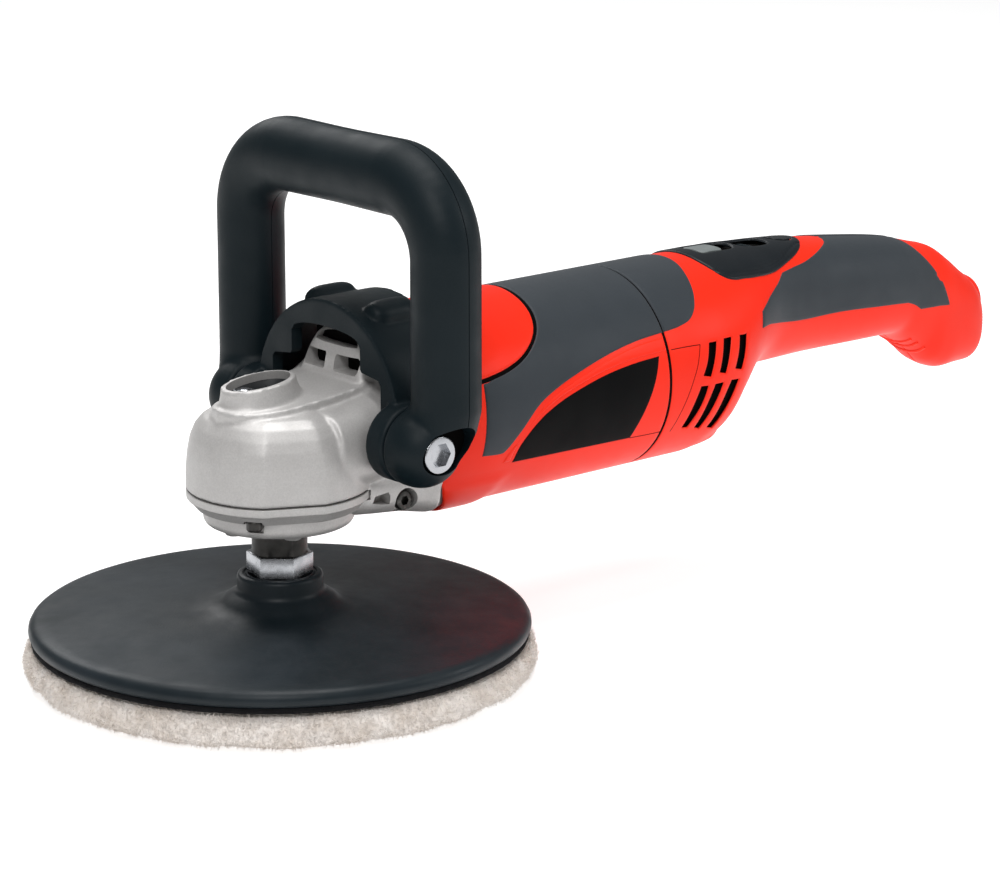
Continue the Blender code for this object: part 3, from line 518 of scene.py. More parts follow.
class HousingSurface:
    """The tool's outer surface from neck to tail, as sections across the X axis.

    A section is a superellipse. Places on it are an X in metres and an angle in radians: 0 is the
    left side, a quarter turn is the top and half a turn the right side.
    """

    # The rows behind the barrel follow a separate program's fit; they aren't worked out here.
    STATIONS = np.array([     # x, top, bottom, half width in mm, squareness
        (4, 100.0, 68.5, 32.2, 3.5), (14, 101.5, 68.5, 32.5, 3.5), (24, 104.5, 68.5, 32.8, 3.1),
        (33, 111, 67.5, 33.2, 2.7), (38, 115.5, 60, 33.8, 2.5), (44, 119.5, 54, 34.6, 2.3),
        (52, 123.5, 51, 36.0, 2.15), (62, 125.6, 49.6, 37.6, 2.05), (74, 126.3, 49.3, 38.5, 2.0),
        (115, 126.3, 49.3, 38.5, 2.0), (182, 126.3, 49.3, 38.5, 2.0), (195, 126.3, 52, 37.0, 2.0),
        (204, 126.3, 61.3, 34.2, 2.0), (212, 126.2, 70.5, 31.1, 2.0), (220, 126.0, 76, 27.7, 2.1),
        (228, 125.7, 77.5, 25.0, 2.1), (236, 125.3, 77.7, 23.3, 2.2), (256, 123.9, 78.1, 21.6, 2.3),
        (286, 120.6, 77.7, 20.8, 2.3), (309, 117.4, 77.3, 19.8, 2.3), (317, 115.7, 73.4, 19.2, 2.3),
        (325, 113.6, 68.5, 18.6, 2.3), (333, 111.5, 61.4, 18.1, 2.4), (341, 106.6, 58.4, 17.4, 2.4),
        (349, 100.5, 58.9, 16.6, 2.4), (356, 95.5, 59.0, 15.0, 2.4), (359.6, 90.5, 61.8, 12.4, 2.4),
        (361.0, 85, 66, 8, 2.3), (361.6, 78, 73, 2, 2.0)])

    def section(self, x: Array) -> tuple[Array, Array, Array, Array]:
        """Height of the middle, half height, half width and squareness at each x."""
        knots = self.STATIONS[:, 0] * MM
        top, low, wide, power = (eased(x, knots, self.STATIONS[:, i]) for i in (1, 2, 3, 4))
        return (top + low) / 2 * MM, (top - low) / 2 * MM, wide * MM, power

    def at(self, x: Array, angle: Array) -> Array:
        """Points on the surface."""
        middle, high, wide, power = self.section(x)
        c, s = np.cos(angle), np.sin(angle)
        reach = ((np.abs(c) / wide) ** power + (np.abs(s) / high) ** power) ** (-1 / power)
        return np.stack([x, -reach * c, middle + reach * s], -1)

    def normal(self, x: Array, angle: Array) -> Array:
        """Outward unit normals."""
        step, turn = 0.2 * MM, 0.004
        along = self.at(x + step, angle) - self.at(x - step, angle)
        around = self.at(x, angle + turn) - self.at(x, angle - turn)
        out = np.cross(along, around)
        return out / np.maximum(np.linalg.norm(out, axis=-1, keepdims=True), 1e-12)

    def lifted(self, x: Array, angle: Array, lift: Array | float) -> Array:
        """Points moved out along the normal."""
        return self.at(x, angle) + self.normal(x, angle) * np.reshape(lift, (-1, 1))

    def angle_at(self, x: float, y: float) -> float:
        """The angle on the upper half where the surface has this X and Y."""
        turn = np.linspace(0, math.pi, 721)
        across = self.at(np.full(721, x), turn)[:, 1]
        return float(np.interp(y, across, turn))


SURFACE = HousingSurface()


def flowing(points: Sequence[tuple[float, float]], step: float = 0.8) -> list[tuple[float, float]]:
    """A smooth open line through (mm, degrees) points, as (metres, radians).

    Args:
        points: Through-points, an X in mm and an angle in degrees.
        step: Distance between the line's points, in mm.

    Returns:
        The fine line.
    """
    knots = np.array([(x, math.radians(a) * BODY_R / MM) for x, a in points], float)
    if len(knots) > 2:
        ends = [2 * knots[0] - knots[1], *knots, 2 * knots[-1] - knots[-2]]
    else:
        ends = [2 * knots[0] - knots[1], knots[0], knots[1], 2 * knots[1] - knots[0]]
    line = []
    for a, b, c, d in zip(ends, ends[1:], ends[2:], ends[3:]):
        count = max(2, int(np.linalg.norm(c - b) / step))
        for t in np.linspace(0, 1, count, endpoint=False):
            line.append(0.5 * ((2 * b) + (c - a) * t + (2 * a - 5 * b + 4 * c - d) * t * t
                               + (3 * b - a - 3 * c + d) * t ** 3))
    line.append(knots[-1])
    return [(p[0] * MM, p[1] * MM / BODY_R) for p in line]


def loop(*lines: Sequence[tuple[float, float]]) -> Array:
    """Joins flowing lines, each through (mm, degrees) points, into one closed outline."""
    joined: list[tuple[float, float]] = []
    for line in lines:
        joined += flowing(line)[:-1]
    return np.array(joined)


def inside(points: Array, loops: Sequence[Array]) -> Array:
    """Which points lie inside the outlines, holes counted out."""
    found = np.zeros(len(points), bool)
    for ring in loops:
        after = np.roll(ring, -1, axis=0)
        for (x0, y0), (x1, y1) in zip(ring, after):
            if y0 == y1:
                continue
            crosses = (points[:, 1] >= min(y0, y1)) & (points[:, 1] < max(y0, y1))
            where = x0 + (points[:, 1] - y0) * (x1 - x0) / (y1 - y0)
            found ^= crosses & (points[:, 0] < where)
    return found


@dataclass
class SurfacePatch:
    """A piece that lies on the housing surface inside an outline, with its edges rounded down.

    Args:
        outline: Closed outline of (metres, radians) points.
        holes: Closed outlines of openings.
        lift: Height over the surface.
        drop: How far the rounded edge falls.
        edge: Width of the rounded edge.
        spacing: Distance between inner points.
        wall: Thickness, inwards.
        relief: Extra height from (x, angle) arrays, or None.
    """

    outline: Array
    holes: Sequence[Array] = ()
    lift: float = 0.3 * MM
    drop: float = 0.5 * MM
    edge: float = 0.7 * MM
    spacing: float = 1.5 * MM
    wall: float = 1.2 * MM
    relief: Callable[[Array, Array], Array] | None = None

    def _metric(self, ring: Array) -> Array:
        """An outline in unrolled metres."""
        return np.stack([ring[:, 0], ring[:, 1] * BODY_R], 1)

    def _edge_distance(self, x: Array, angle: Array, rims: Array) -> Array:
        """Distance of surface points from the outlines, in space."""
        where = SURFACE.at(x, angle)
        nearest = np.full(len(where), 1e9)
        for start in range(0, len(rims), 200):
            part = rims[start:start + 200]
            gap = np.linalg.norm(where[:, None, :] - part[None], axis=2).min(1)
            nearest = np.minimum(nearest, gap)
        return nearest

    def mesh(self) -> bpy.types.Mesh:
        """The outer skin.

        Returns:
            A triangle mesh whose border is the outline itself.
        """
        loops = [self._metric(ring) for ring in (self.outline, *self.holes)]
        dense = []
        for ring in loops:
            after = np.roll(ring, -1, axis=0)
            for t in (0.0, 0.34, 0.67):
                dense.append(ring + (after - ring) * t)
        dense = np.concatenate(dense)
        rims = SURFACE.at(dense[:, 0], dense[:, 1] / BODY_R)
        inner = [self._inset(ring, rims, loops, d) for ring in loops
                 for d in (0.22 * self.edge, 0.55 * self.edge, 1.0 * self.edge)]
        low, high = loops[0].min(0), loops[0].max(0)
        rows = np.arange(low[1], high[1], self.spacing * 0.87)
        grid = np.concatenate([np.stack([np.arange(low[0], high[0], self.spacing)
                                         + (i % 2) * self.spacing / 2,
                                         np.full(len(np.arange(low[0], high[0], self.spacing)), y)], 1)
                               for i, y in enumerate(rows)])
        grid = grid[inside(grid, loops)]
        far = self._edge_distance(grid[:, 0], grid[:, 1] / BODY_R, rims)
        grid = grid[far > self.edge + 0.35 * self.spacing]
        points = np.concatenate([*loops, *[p for p in inner if len(p)], grid])
        edges, start = [], 0
        for ring in loops:
            edges += [(start + i, start + (i + 1) % len(ring)) for i in range(len(ring))]
            start += len(ring)
        verts, _, faces, *_ = delaunay_2d_cdt([Vector(p) for p in points], edges, [], 1, 1e-7)
        flat = np.array([tuple(v) for v in verts])
        faces = np.array([f for f in faces if len(f) == 3])
        if self.holes:
            faces = faces[inside(flat[faces].mean(1), loops)]
        x, angle = flat[:, 0], flat[:, 1] / BODY_R
        t = np.clip(self._edge_distance(x, angle, rims) / self.edge, 0, 1)
        lift = self.lift - self.drop * (1 - np.sqrt(np.clip(1 - (1 - t) ** 2, 0, 1)))
        if self.relief is not None:
            lift = lift + self.relief(x, angle)
        mesh = bpy.data.meshes.new("patch")
        mesh.from_pydata(SURFACE.lifted(x, angle, lift).tolist(), [], faces.tolist())
        work = bmesh.new()
        work.from_mesh(mesh)
        bmesh.ops.remove_doubles(work, verts=work.verts, dist=2e-5)
        bmesh.ops.delete(work, geom=[v for v in work.verts if not v.link_faces], context="VERTS")
        work.to_mesh(mesh)
        work.free()
        return mesh

    def _inset(self, ring: Array, rims: Array, loops: Sequence[Array], depth: float) -> Array:
        """Points a set depth inside a rim, which carry the rounded edge."""
        x, angle = ring[:, 0], ring[:, 1] / BODY_R
        stretch = np.linalg.norm(SURFACE.at(x, angle + 0.01) - SURFACE.at(x, angle - 0.01), axis=1) / (
            0.02 * BODY_R)
        run = np.roll(ring, -1, axis=0) - np.roll(ring, 1, axis=0)
        real = np.stack([run[:, 0], run[:, 1] * stretch], 1)
        side = np.stack([-real[:, 1], real[:, 0]], 1)
        side /= np.maximum(np.linalg.norm(side, axis=1, keepdims=True), 1e-12)
        shift = np.stack([side[:, 0], side[:, 1] / np.maximum(stretch, 0.05)], 1) * depth
        both = np.concatenate([ring + shift, ring - shift])
        both = both[inside(both, loops)]
        gap = self._edge_distance(both[:, 0], both[:, 1] / BODY_R, rims)
        return both[gap > depth * 0.8]

    def piece(self, name: str, finish: Finish, stands_for: Sequence[str] = (),
              body: Body = Body.TOOL) -> bpy.types.Object:
        """The finished shell of this patch."""
        obj = loose(self.mesh(), name)
        shell = obj.modifiers.new("wall", "SOLIDIFY")
        shell.thickness, shell.offset = self.wall, -1.0
        return piece(obj, body, finish, stands_for)


def mirrored(ring: Array) -> Array:
    """An outline on the other side of the tool, in the same turning sense."""
    return np.stack([ring[:, 0], math.pi - ring[:, 1]], 1)[::-1]


def in_plan(points: Sequence[tuple[float, float]], step: float = 0.6) -> Array:
    """A closed smooth outline on the upper surface from (x, y) points in mm."""
    knots = np.array(points, float)
    line = []
    for i in range(len(knots)):
        a, b, c, d = (knots[(i + k) % len(knots)] for k in (-1, 0, 1, 2))
        count = max(1, int(np.linalg.norm(c - b) / step))
        for t in np.linspace(0, 1, count, endpoint=False):
            line.append(0.5 * ((2 * b) + (c - a) * t + (2 * a - 5 * b + 4 * c - d) * t * t
                               + (3 * b - a - 3 * c + d) * t ** 3))
    return np.array([(x * MM, SURFACE.angle_at(x * MM, y * MM)) for x, y in line])


def inlay(name: str, line: Sequence[tuple[float, float]], width: float, finish: Finish,
          lift: float = 0.04 * MM) -> bpy.types.Object:
    """A thin strip along a path on the surface: near-black, it paints the shade in a shut line or crease; in red, it
    is a raised rib.

    Args:
        name: The piece's name.
        line: Path as (metres, radians) points.
        width: Its width.
        finish: Its material.
        lift: Height over the surface.

    Returns:
        The piece.
    """
    path = np.array(line)
    metric = np.stack([path[:, 0], path[:, 1] * BODY_R], 1)
    run = np.gradient(metric, axis=0)
    run /= np.linalg.norm(run, axis=1, keepdims=True)
    side = np.stack([-run[:, 1], run[:, 0]], 1)
    rings = []
    for across, up in ((-0.5, -0.3 * MM), (-0.5, lift * 0.4), (0, lift), (0.5, lift * 0.4), (0.5, -0.3 * MM)):
        at = metric + side * across * width
        rings.append(SURFACE.lifted(at[:, 0], at[:, 1] / BODY_R, up))
    count = len(path)
    stacked = [np.array([ring[i] for ring in rings]) for i in range(count)]
    return piece(loose(loft(stacked), name), Body.TOOL, finish)


# -------------------------------------------------------------------------------- node trees


class NodeTree:
    """A Geometry Nodes tree that is built step by step and then run on an object."""

    def __init__(self, name: str) -> None:
        """Starts an empty tree with a geometry input and output."""
        self.tree = bpy.data.node_groups.new(name, "GeometryNodeTree")
        face = self.tree.interface
        face.new_socket("Geometry", in_out="INPUT", socket_type="NodeSocketGeometry")
        face.new_socket("Geometry", in_out="OUTPUT", socket_type="NodeSocketGeometry")
        self.start = self.tree.nodes.new("NodeGroupInput")
        self.end = self.tree.nodes.new("NodeGroupOutput")

    def size(self, name: str, kind: str = "NodeSocketFloat") -> bpy.types.NodeSocket:
        """Adds a named input and gives its socket."""
        self.tree.interface.new_socket(name, in_out="INPUT", socket_type=kind)
        return self.start.outputs[name]

    def node(self, kind: str, **values: object) -> bpy.types.Node:
        """Adds a node and sets its properties."""
        made = self.tree.nodes.new(kind)
        for key, value in values.items():
            setattr(made, key, value)
        return made

    def link(self, source: bpy.types.NodeSocket, target: bpy.types.NodeSocket) -> None:
        """Joins two sockets."""
        self.tree.links.new(source, target)

    def close(self, source: bpy.types.NodeSocket, finish: Finish) -> None:
        """Realizes the instances, sets the material and ends the tree."""
        real = self.node("GeometryNodeRealizeInstances")
        paint = self.node("GeometryNodeSetMaterial")
        paint.inputs["Material"].default_value = finish.material()
        self.link(source, real.inputs["Geometry"])
        self.link(real.outputs["Geometry"], paint.inputs["Geometry"])
        self.link(paint.outputs["Geometry"], self.end.inputs["Geometry"])

    def run(self, obj: bpy.types.Object, **sizes: object) -> bpy.types.Object:
        """Runs the tree on an object and keeps the plain result.

        Args:
            obj: The object whose mesh goes in.
            **sizes: A value for each named input.

        Returns:
            The object with its new mesh.
        """
        step = obj.modifiers.new(self.tree.name, "NODES")
        step.node_group = self.tree
        for item in self.tree.interface.items_tree:
            if item.in_out == "INPUT" and item.name in sizes:
                step[item.identifier] = sizes[item.name]
        return settle(obj)


def rim_only(tree: NodeTree) -> bpy.types.NodeSocket:
    """True on the fleece's open rim, away from the floor and from under the pad.

    Args:
        tree: The tree that the test is built in, which gains inputs Rim and Floor.

    Returns:
        The test's output.
    """
    place = tree.node("GeometryNodeInputPosition").outputs["Position"]
    flat = tree.node("ShaderNodeVectorMath", operation="MULTIPLY")
    flat.inputs[1].default_value = (1.0, 1.0, 0.0)
    tree.link(place, flat.inputs[0])
    reach = tree.node("ShaderNodeVectorMath", operation="LENGTH")
    tree.link(flat.outputs["Vector"], reach.inputs[0])
    height = tree.node("ShaderNodeSeparateXYZ")
    tree.link(place, height.inputs["Vector"])
    both = tree.node("FunctionNodeBooleanMath", operation="AND")
    for number, (value, limit) in enumerate(((reach.outputs["Value"], tree.size("Rim")),
                                             (height.outputs["Z"], tree.size("Floor")))):
        test = tree.node("FunctionNodeCompare", data_type="FLOAT", operation="GREATER_THAN")
        tree.link(value, test.inputs[0])
        tree.link(limit, test.inputs[1])
        tree.link(test.outputs["Result"], both.inputs[number])
    return both.outputs["Boolean"]


def tuft_tree() -> NodeTree:
    """Short curved locks scattered over a fleece.

    Returns:
        A tree with inputs Density, Length, Width, Seed, Rim and Floor.
    """
    tree = NodeTree("wool_locks")
    density, length = tree.size("Density"), tree.size("Length")
    width, seed = tree.size("Width"), tree.size("Seed", "NodeSocketInt")
    spread = tree.node("GeometryNodeDistributePointsOnFaces")
    tree.link(tree.start.outputs["Geometry"], spread.inputs["Mesh"])
    tree.link(density, spread.inputs["Density"])
    tree.link(rim_only(tree), spread.inputs["Selection"])
    tree.link(seed, spread.inputs["Seed"])
    lock = tree.node("GeometryNodeMeshCone", fill_type="NONE")
    lock.inputs["Vertices"].default_value = 3
    lock.inputs["Side Segments"].default_value = 1
    tree.link(width, lock.inputs["Radius Bottom"])
    lock.inputs["Radius Top"].default_value = 0.00003
    tree.link(length, lock.inputs["Depth"])
    lean = tree.node("FunctionNodeRandomValue", data_type="FLOAT_VECTOR")
    lean.inputs["Min"].default_value = (-1.25, -1.25, 0.0)
    lean.inputs["Max"].default_value = (1.25, 1.25, 6.28)
    tree.link(seed, lean.inputs["Seed"])
    tilt = tree.node("FunctionNodeRotateRotation", rotation_space="LOCAL")
    tree.link(spread.outputs["Rotation"], tilt.inputs["Rotation"])
    tree.link(lean.outputs["Value"], tilt.inputs["Rotate By"])
    reach = tree.node("FunctionNodeRandomValue", data_type="FLOAT")
    reach.inputs[2].default_value, reach.inputs[3].default_value = 0.45, 1.25
    tree.link(seed, reach.inputs["Seed"])
    place = tree.node("GeometryNodeInstanceOnPoints")
    tree.link(spread.outputs["Points"], place.inputs["Points"])
    tree.link(lock.outputs["Mesh"], place.inputs["Instance"])
    tree.link(tilt.outputs["Rotation"], place.inputs["Rotation"])
    tree.link(reach.outputs[1], place.inputs["Scale"])
    both = tree.node("GeometryNodeJoinGeometry")
    tree.link(place.outputs["Instances"], both.inputs["Geometry"])
    tree.link(tree.start.outputs["Geometry"], both.inputs["Geometry"])
    tree.close(both.outputs["Geometry"], WOOL)
    return tree


def screw_tree(shape: bpy.types.Object, finish: Finish) -> NodeTree:
    """A screw head set on each point, turned so that its axis follows the point's normal.

    Args:
        shape: The screw head, its axis along +Z.
        finish: The heads' material.

    Returns:
        A tree with an input Scale.
    """
    tree = NodeTree(f"{shape.name}_row")
    scale = tree.size("Scale")
    head = tree.node("GeometryNodeObjectInfo")
    head.inputs["Object"].default_value = shape
    facing = tree.node("GeometryNodeInputNamedAttribute", data_type="FLOAT_VECTOR")
    facing.inputs["Name"].default_value = "facing"
    turn = tree.node("FunctionNodeAlignEulerToVector", axis="Z")
    tree.link(facing.outputs["Attribute"], turn.inputs["Vector"])
    place = tree.node("GeometryNodeInstanceOnPoints")
    tree.link(tree.start.outputs["Geometry"], place.inputs["Points"])
    tree.link(head.outputs["Geometry"], place.inputs["Instance"])
    tree.link(turn.outputs["Rotation"], place.inputs["Rotation"])
    tree.link(scale, place.inputs["Scale"])
    tree.close(place.outputs["Instances"], finish)
    return tree


def socket_head(name: str, radius: float, height: float, socket: float) -> bpy.types.Object:
    """A cap screw's head with a hexagon socket, its axis along +Z and its seat at the origin.

    Args:
        name: The object's name.
        radius: The head's radius, in mm.
        height: The head's height, in mm.
        socket: The socket's size across flats, in mm.

    Returns:
        The head, not yet on a body.
    """
    head = loose(turned(rounded([(0, 0), (radius, 0), (radius, height), (0, height)], 0.7, 4), 32), name)
    reach = socket / 2 / math.cos(math.pi / 6)
    hexagon = [(reach * math.cos(k * math.pi / 3), reach * math.sin(k * math.pi / 3)) for k in range(6)]
    return carve(head, [prism(hexagon, height * 0.35 * MM, (height + 1) * MM, ALONG_Z)])


def screw_row(name: str, head: bpy.types.Object, places: Sequence[tuple[Vector, Vector]],
              finish: Finish) -> bpy.types.Object:
    """One mesh with a screw head at each place.

    Args:
        name: The piece's name.
        head: The head's shape, which is removed afterwards.
        places: A seat and the way it faces, for each screw.
        finish: The heads' material.

    Returns:
        The object, not yet on a body.
    """
    mesh = bpy.data.meshes.new(name)
    mesh.from_pydata([tuple(p) for p, _ in places], [], [])
    facing = mesh.attributes.new("facing", "FLOAT_VECTOR", "POINT")
    facing.data.foreach_set("vector", [c for _, way in places for c in way.normalized()])
    row = screw_tree(head, finish).run(loose(mesh, name), Scale=1.0)
    bpy.data.objects.remove(head)
    return row


# ------------------------------------------------------------------------------- assemblies


@dataclass
class PadStack:
    """The bonnet, its hook layer, the rubber pad, the hub nut and the spindle end (sizes in mm)."""

    wool_radius: float = 92.2
    wool_top: float = 13.9
    hook_radius: float = 89.3
    pad_profile: tuple = ((0, 15.8), (88.4, 15.8), (89.6, 16.6), (90.2, 18.0), (90.1, 19.2), (89.4, 20.5),
                          (88.2, 21.4), (86.4, 21.9), (83, 22.1), (70, 22.7), (50, 23.4), (34, 24.1),
                          (27, 24.8), (23, 25.8), (20.6, 27.4), (19.0, 28.9), (17.0, 29.9),
                          (15.9, 30.8), (15.5, 32.2), (15.5, 35.6), (15.2, 36.6), (14.4, 37.1),
                          (13.3, 37.1), (13.0, 36.5), (12.5, 36.5), (12.2, 37.0), (11.6, 37.0),
                          (11.3, 36.3), (11.3, 34.2), (0, 34.2))
    nut_across: float = 21.0
    nut_low: float = 34.0
    nut_high: float = 44.8
    spindle_radius: float = 10.0
    spindle_flats: float = 8.9
    spindle_top: float = 57.5

    def build(self) -> None:
        """Makes every piece of the stack."""
        self.bonnet()
        self.hook_layer()
        self.pad()
        self.nut()
        self.spindle()

    def bonnet(self) -> None:
        """The wool disc: a soft lumpy body covered in short locks."""
        r, t = self.wool_radius, self.wool_top
        shape = [(0, 0.2), (r - 12, 0.2), (r - 5, 0.6), (r - 1.5, 2.4), (r, 5.5), (r + 0.2, 8.5),
                 (r - 0.6, 11.4), (r - 2.4, 13.2), (r - 5, t - 0.1), (0, t - 0.1)]
        mesh = turned([(0, 0.2)] + [(k * (r - 12) / 14, 0.2) for k in range(1, 14)]
                      + rounded(shape, 3, 5)[3:-1]
                      + [(k * (r - 5) / 12, t - 0.1) for k in range(11, 0, -1)] + [(0, t - 0.1)], 300)
        obj = loose(mesh, "polishing_bonnet_wool")
        obj = self.puffed(obj)
        self.matted(obj)
        tuft_tree().run(obj, Density=2600000.0, Length=0.0015, Width=0.00017, Seed=7,
                        Rim=0.0835, Floor=0.0016)
        piece(obj, Body.SPINDLE, WOOL, ["polishing_bonnet"], math.pi)

    def puffed(self, obj: bpy.types.Object) -> bpy.types.Object:
        """Swells the fleece by a cloth simulation, and keeps how far each part swelled small."""
        grid = obj.modifiers.new("grid", "REMESH")
        grid.mode, grid.voxel_size = "VOXEL", 0.0042
        settle(obj)
        before = np.array([v.co for v in obj.data.vertices])
        held = obj.vertex_groups.new(name="held")
        held.add([i for i, p in enumerate(before) if np.hypot(p[0], p[1]) < 0.060], 1.0, "REPLACE")
        cloth = obj.modifiers.new("puff", "CLOTH")
        cloth.settings.use_pressure, cloth.settings.uniform_pressure_force = True, 4.0
        cloth.settings.effector_weights.gravity = 0.0
        cloth.settings.vertex_group_mass = "held"
        cloth.settings.mass = 0.15
        for number in range(1, 13):
            bpy.context.scene.frame_set(number)
        graph = bpy.context.evaluated_depsgraph_get()
        after = np.array([v.co for v in obj.evaluated_get(graph).data.vertices])
        obj.modifiers.clear()
        bpy.context.scene.frame_set(1)
        move = after - before
        far = np.linalg.norm(move, axis=1, keepdims=True)
        move *= np.minimum(1.0, 1.2 * MM / np.maximum(far, 1e-9))
        obj.data.vertices.foreach_set("co", (before + move).ravel())
        fine = obj.modifiers.new("fine", "SUBSURF")
        fine.levels = fine.render_levels = 1
        return settle(obj)

    def matted(self, obj: bpy.types.Object) -> None:
        """Gives the fleece its lumps and flattens it where it meets the hook layer and the floor."""
        for v in obj.data.vertices:
            out = Vector((v.co.x, v.co.y, 0))
            rim = max(0.0, (out.length - 0.080) / 0.0125)
            lump = noise.fractal(v.co * 95, 1.0, 2.1, 3) * 1.1 + noise.fractal(v.co * 330, 1.0, 2.0, 2) * 0.5
            if out.length > 1e-4:
                v.co += out.normalized() * lump * rim * MM
            v.co.z += noise.fractal(v.co * 210, 1.0, 2.0, 2) * 0.35 * MM * rim
            low = max(0.0, 1 - v.co.z / (6 * MM))
            v.co.z += max(0.0, noise.noise(v.co * 55) + 0.15) * 3.0 * MM * rim * low
            v.co.z = min(max(v.co.z, 0.3 * MM), self.wool_top * MM + 0.2 * MM)
            reach = math.hypot(v.co.x, v.co.y)
            limit = (self.wool_radius + 1.0) * MM
            if reach > limit:
                v.co.x, v.co.y = v.co.x * limit / reach, v.co.y * limit / reach

    def hook_layer(self) -> None:
        """The black hook fabric between the wool and the rubber."""
        r = self.hook_radius
        mesh = turned([(0, 13.8), (r - 0.8, 13.8), (r, 14.2), (r + 0.1, 15.0), (r - 0.5, 15.9), (0, 15.9)],
                      256)
        for v in mesh.vertices:
            if math.hypot(v.co.x, v.co.y) > 0.085:
                v.co *= 1 + 0.0026 * noise.noise(v.co * 900)
        piece(loose(mesh, "hook_layer"), Body.SPINDLE, HOOKS, ["velcro_layer"])

    def pad(self) -> None:
        """The rubber backing pad with its flared hub."""
        piece(loose(turned(self.pad_profile, 192), "backing_pad_rubber"), Body.SPINDLE, RUBBER,
              ["backing_pad"], math.radians(50))

    def nut(self) -> None:
        """The hexagon nut that clamps the pad."""
        reach = self.nut_across / 2 / math.cos(math.pi / 6)
        corners = [(reach * math.cos(0.3 + k * math.pi / 3), reach * math.sin(0.3 + k * math.pi / 3))
                   for k in range(6)]
        obj = loose(prism(corners, self.nut_low * MM, self.nut_high * MM, ALONG_Z), "pad_hub_nut_chrome")
        edge = obj.modifiers.new("edge", "BEVEL")
        edge.width, edge.segments, edge.limit_method = 0.6 * MM, 2, "ANGLE"
        piece(obj, Body.SPINDLE, CHROME, ["pad_hub_nut"], math.radians(22))

    def spindle(self) -> None:
        """The spindle's visible end, with its two wrench flats."""
        def flats(turn: Array, radius: float) -> Array:
            """Radius with two flats."""
            across = self.spindle_flats / np.maximum(np.abs(np.cos(turn - 0.9)), 0.05)
            return np.minimum(radius, across)
        r = self.spindle_radius
        profile = [(0, 44.0), (r - 0.8, 44.0), (r, 44.8), (r, 48.5), (r, 49.6), (r, self.spindle_top),
                   (0, self.spindle_top)]
        piece(loose(turned(profile, 96, flats), "spindle_end"), Body.SPINDLE, DARK, ["output_spindle"],
              math.radians(22))


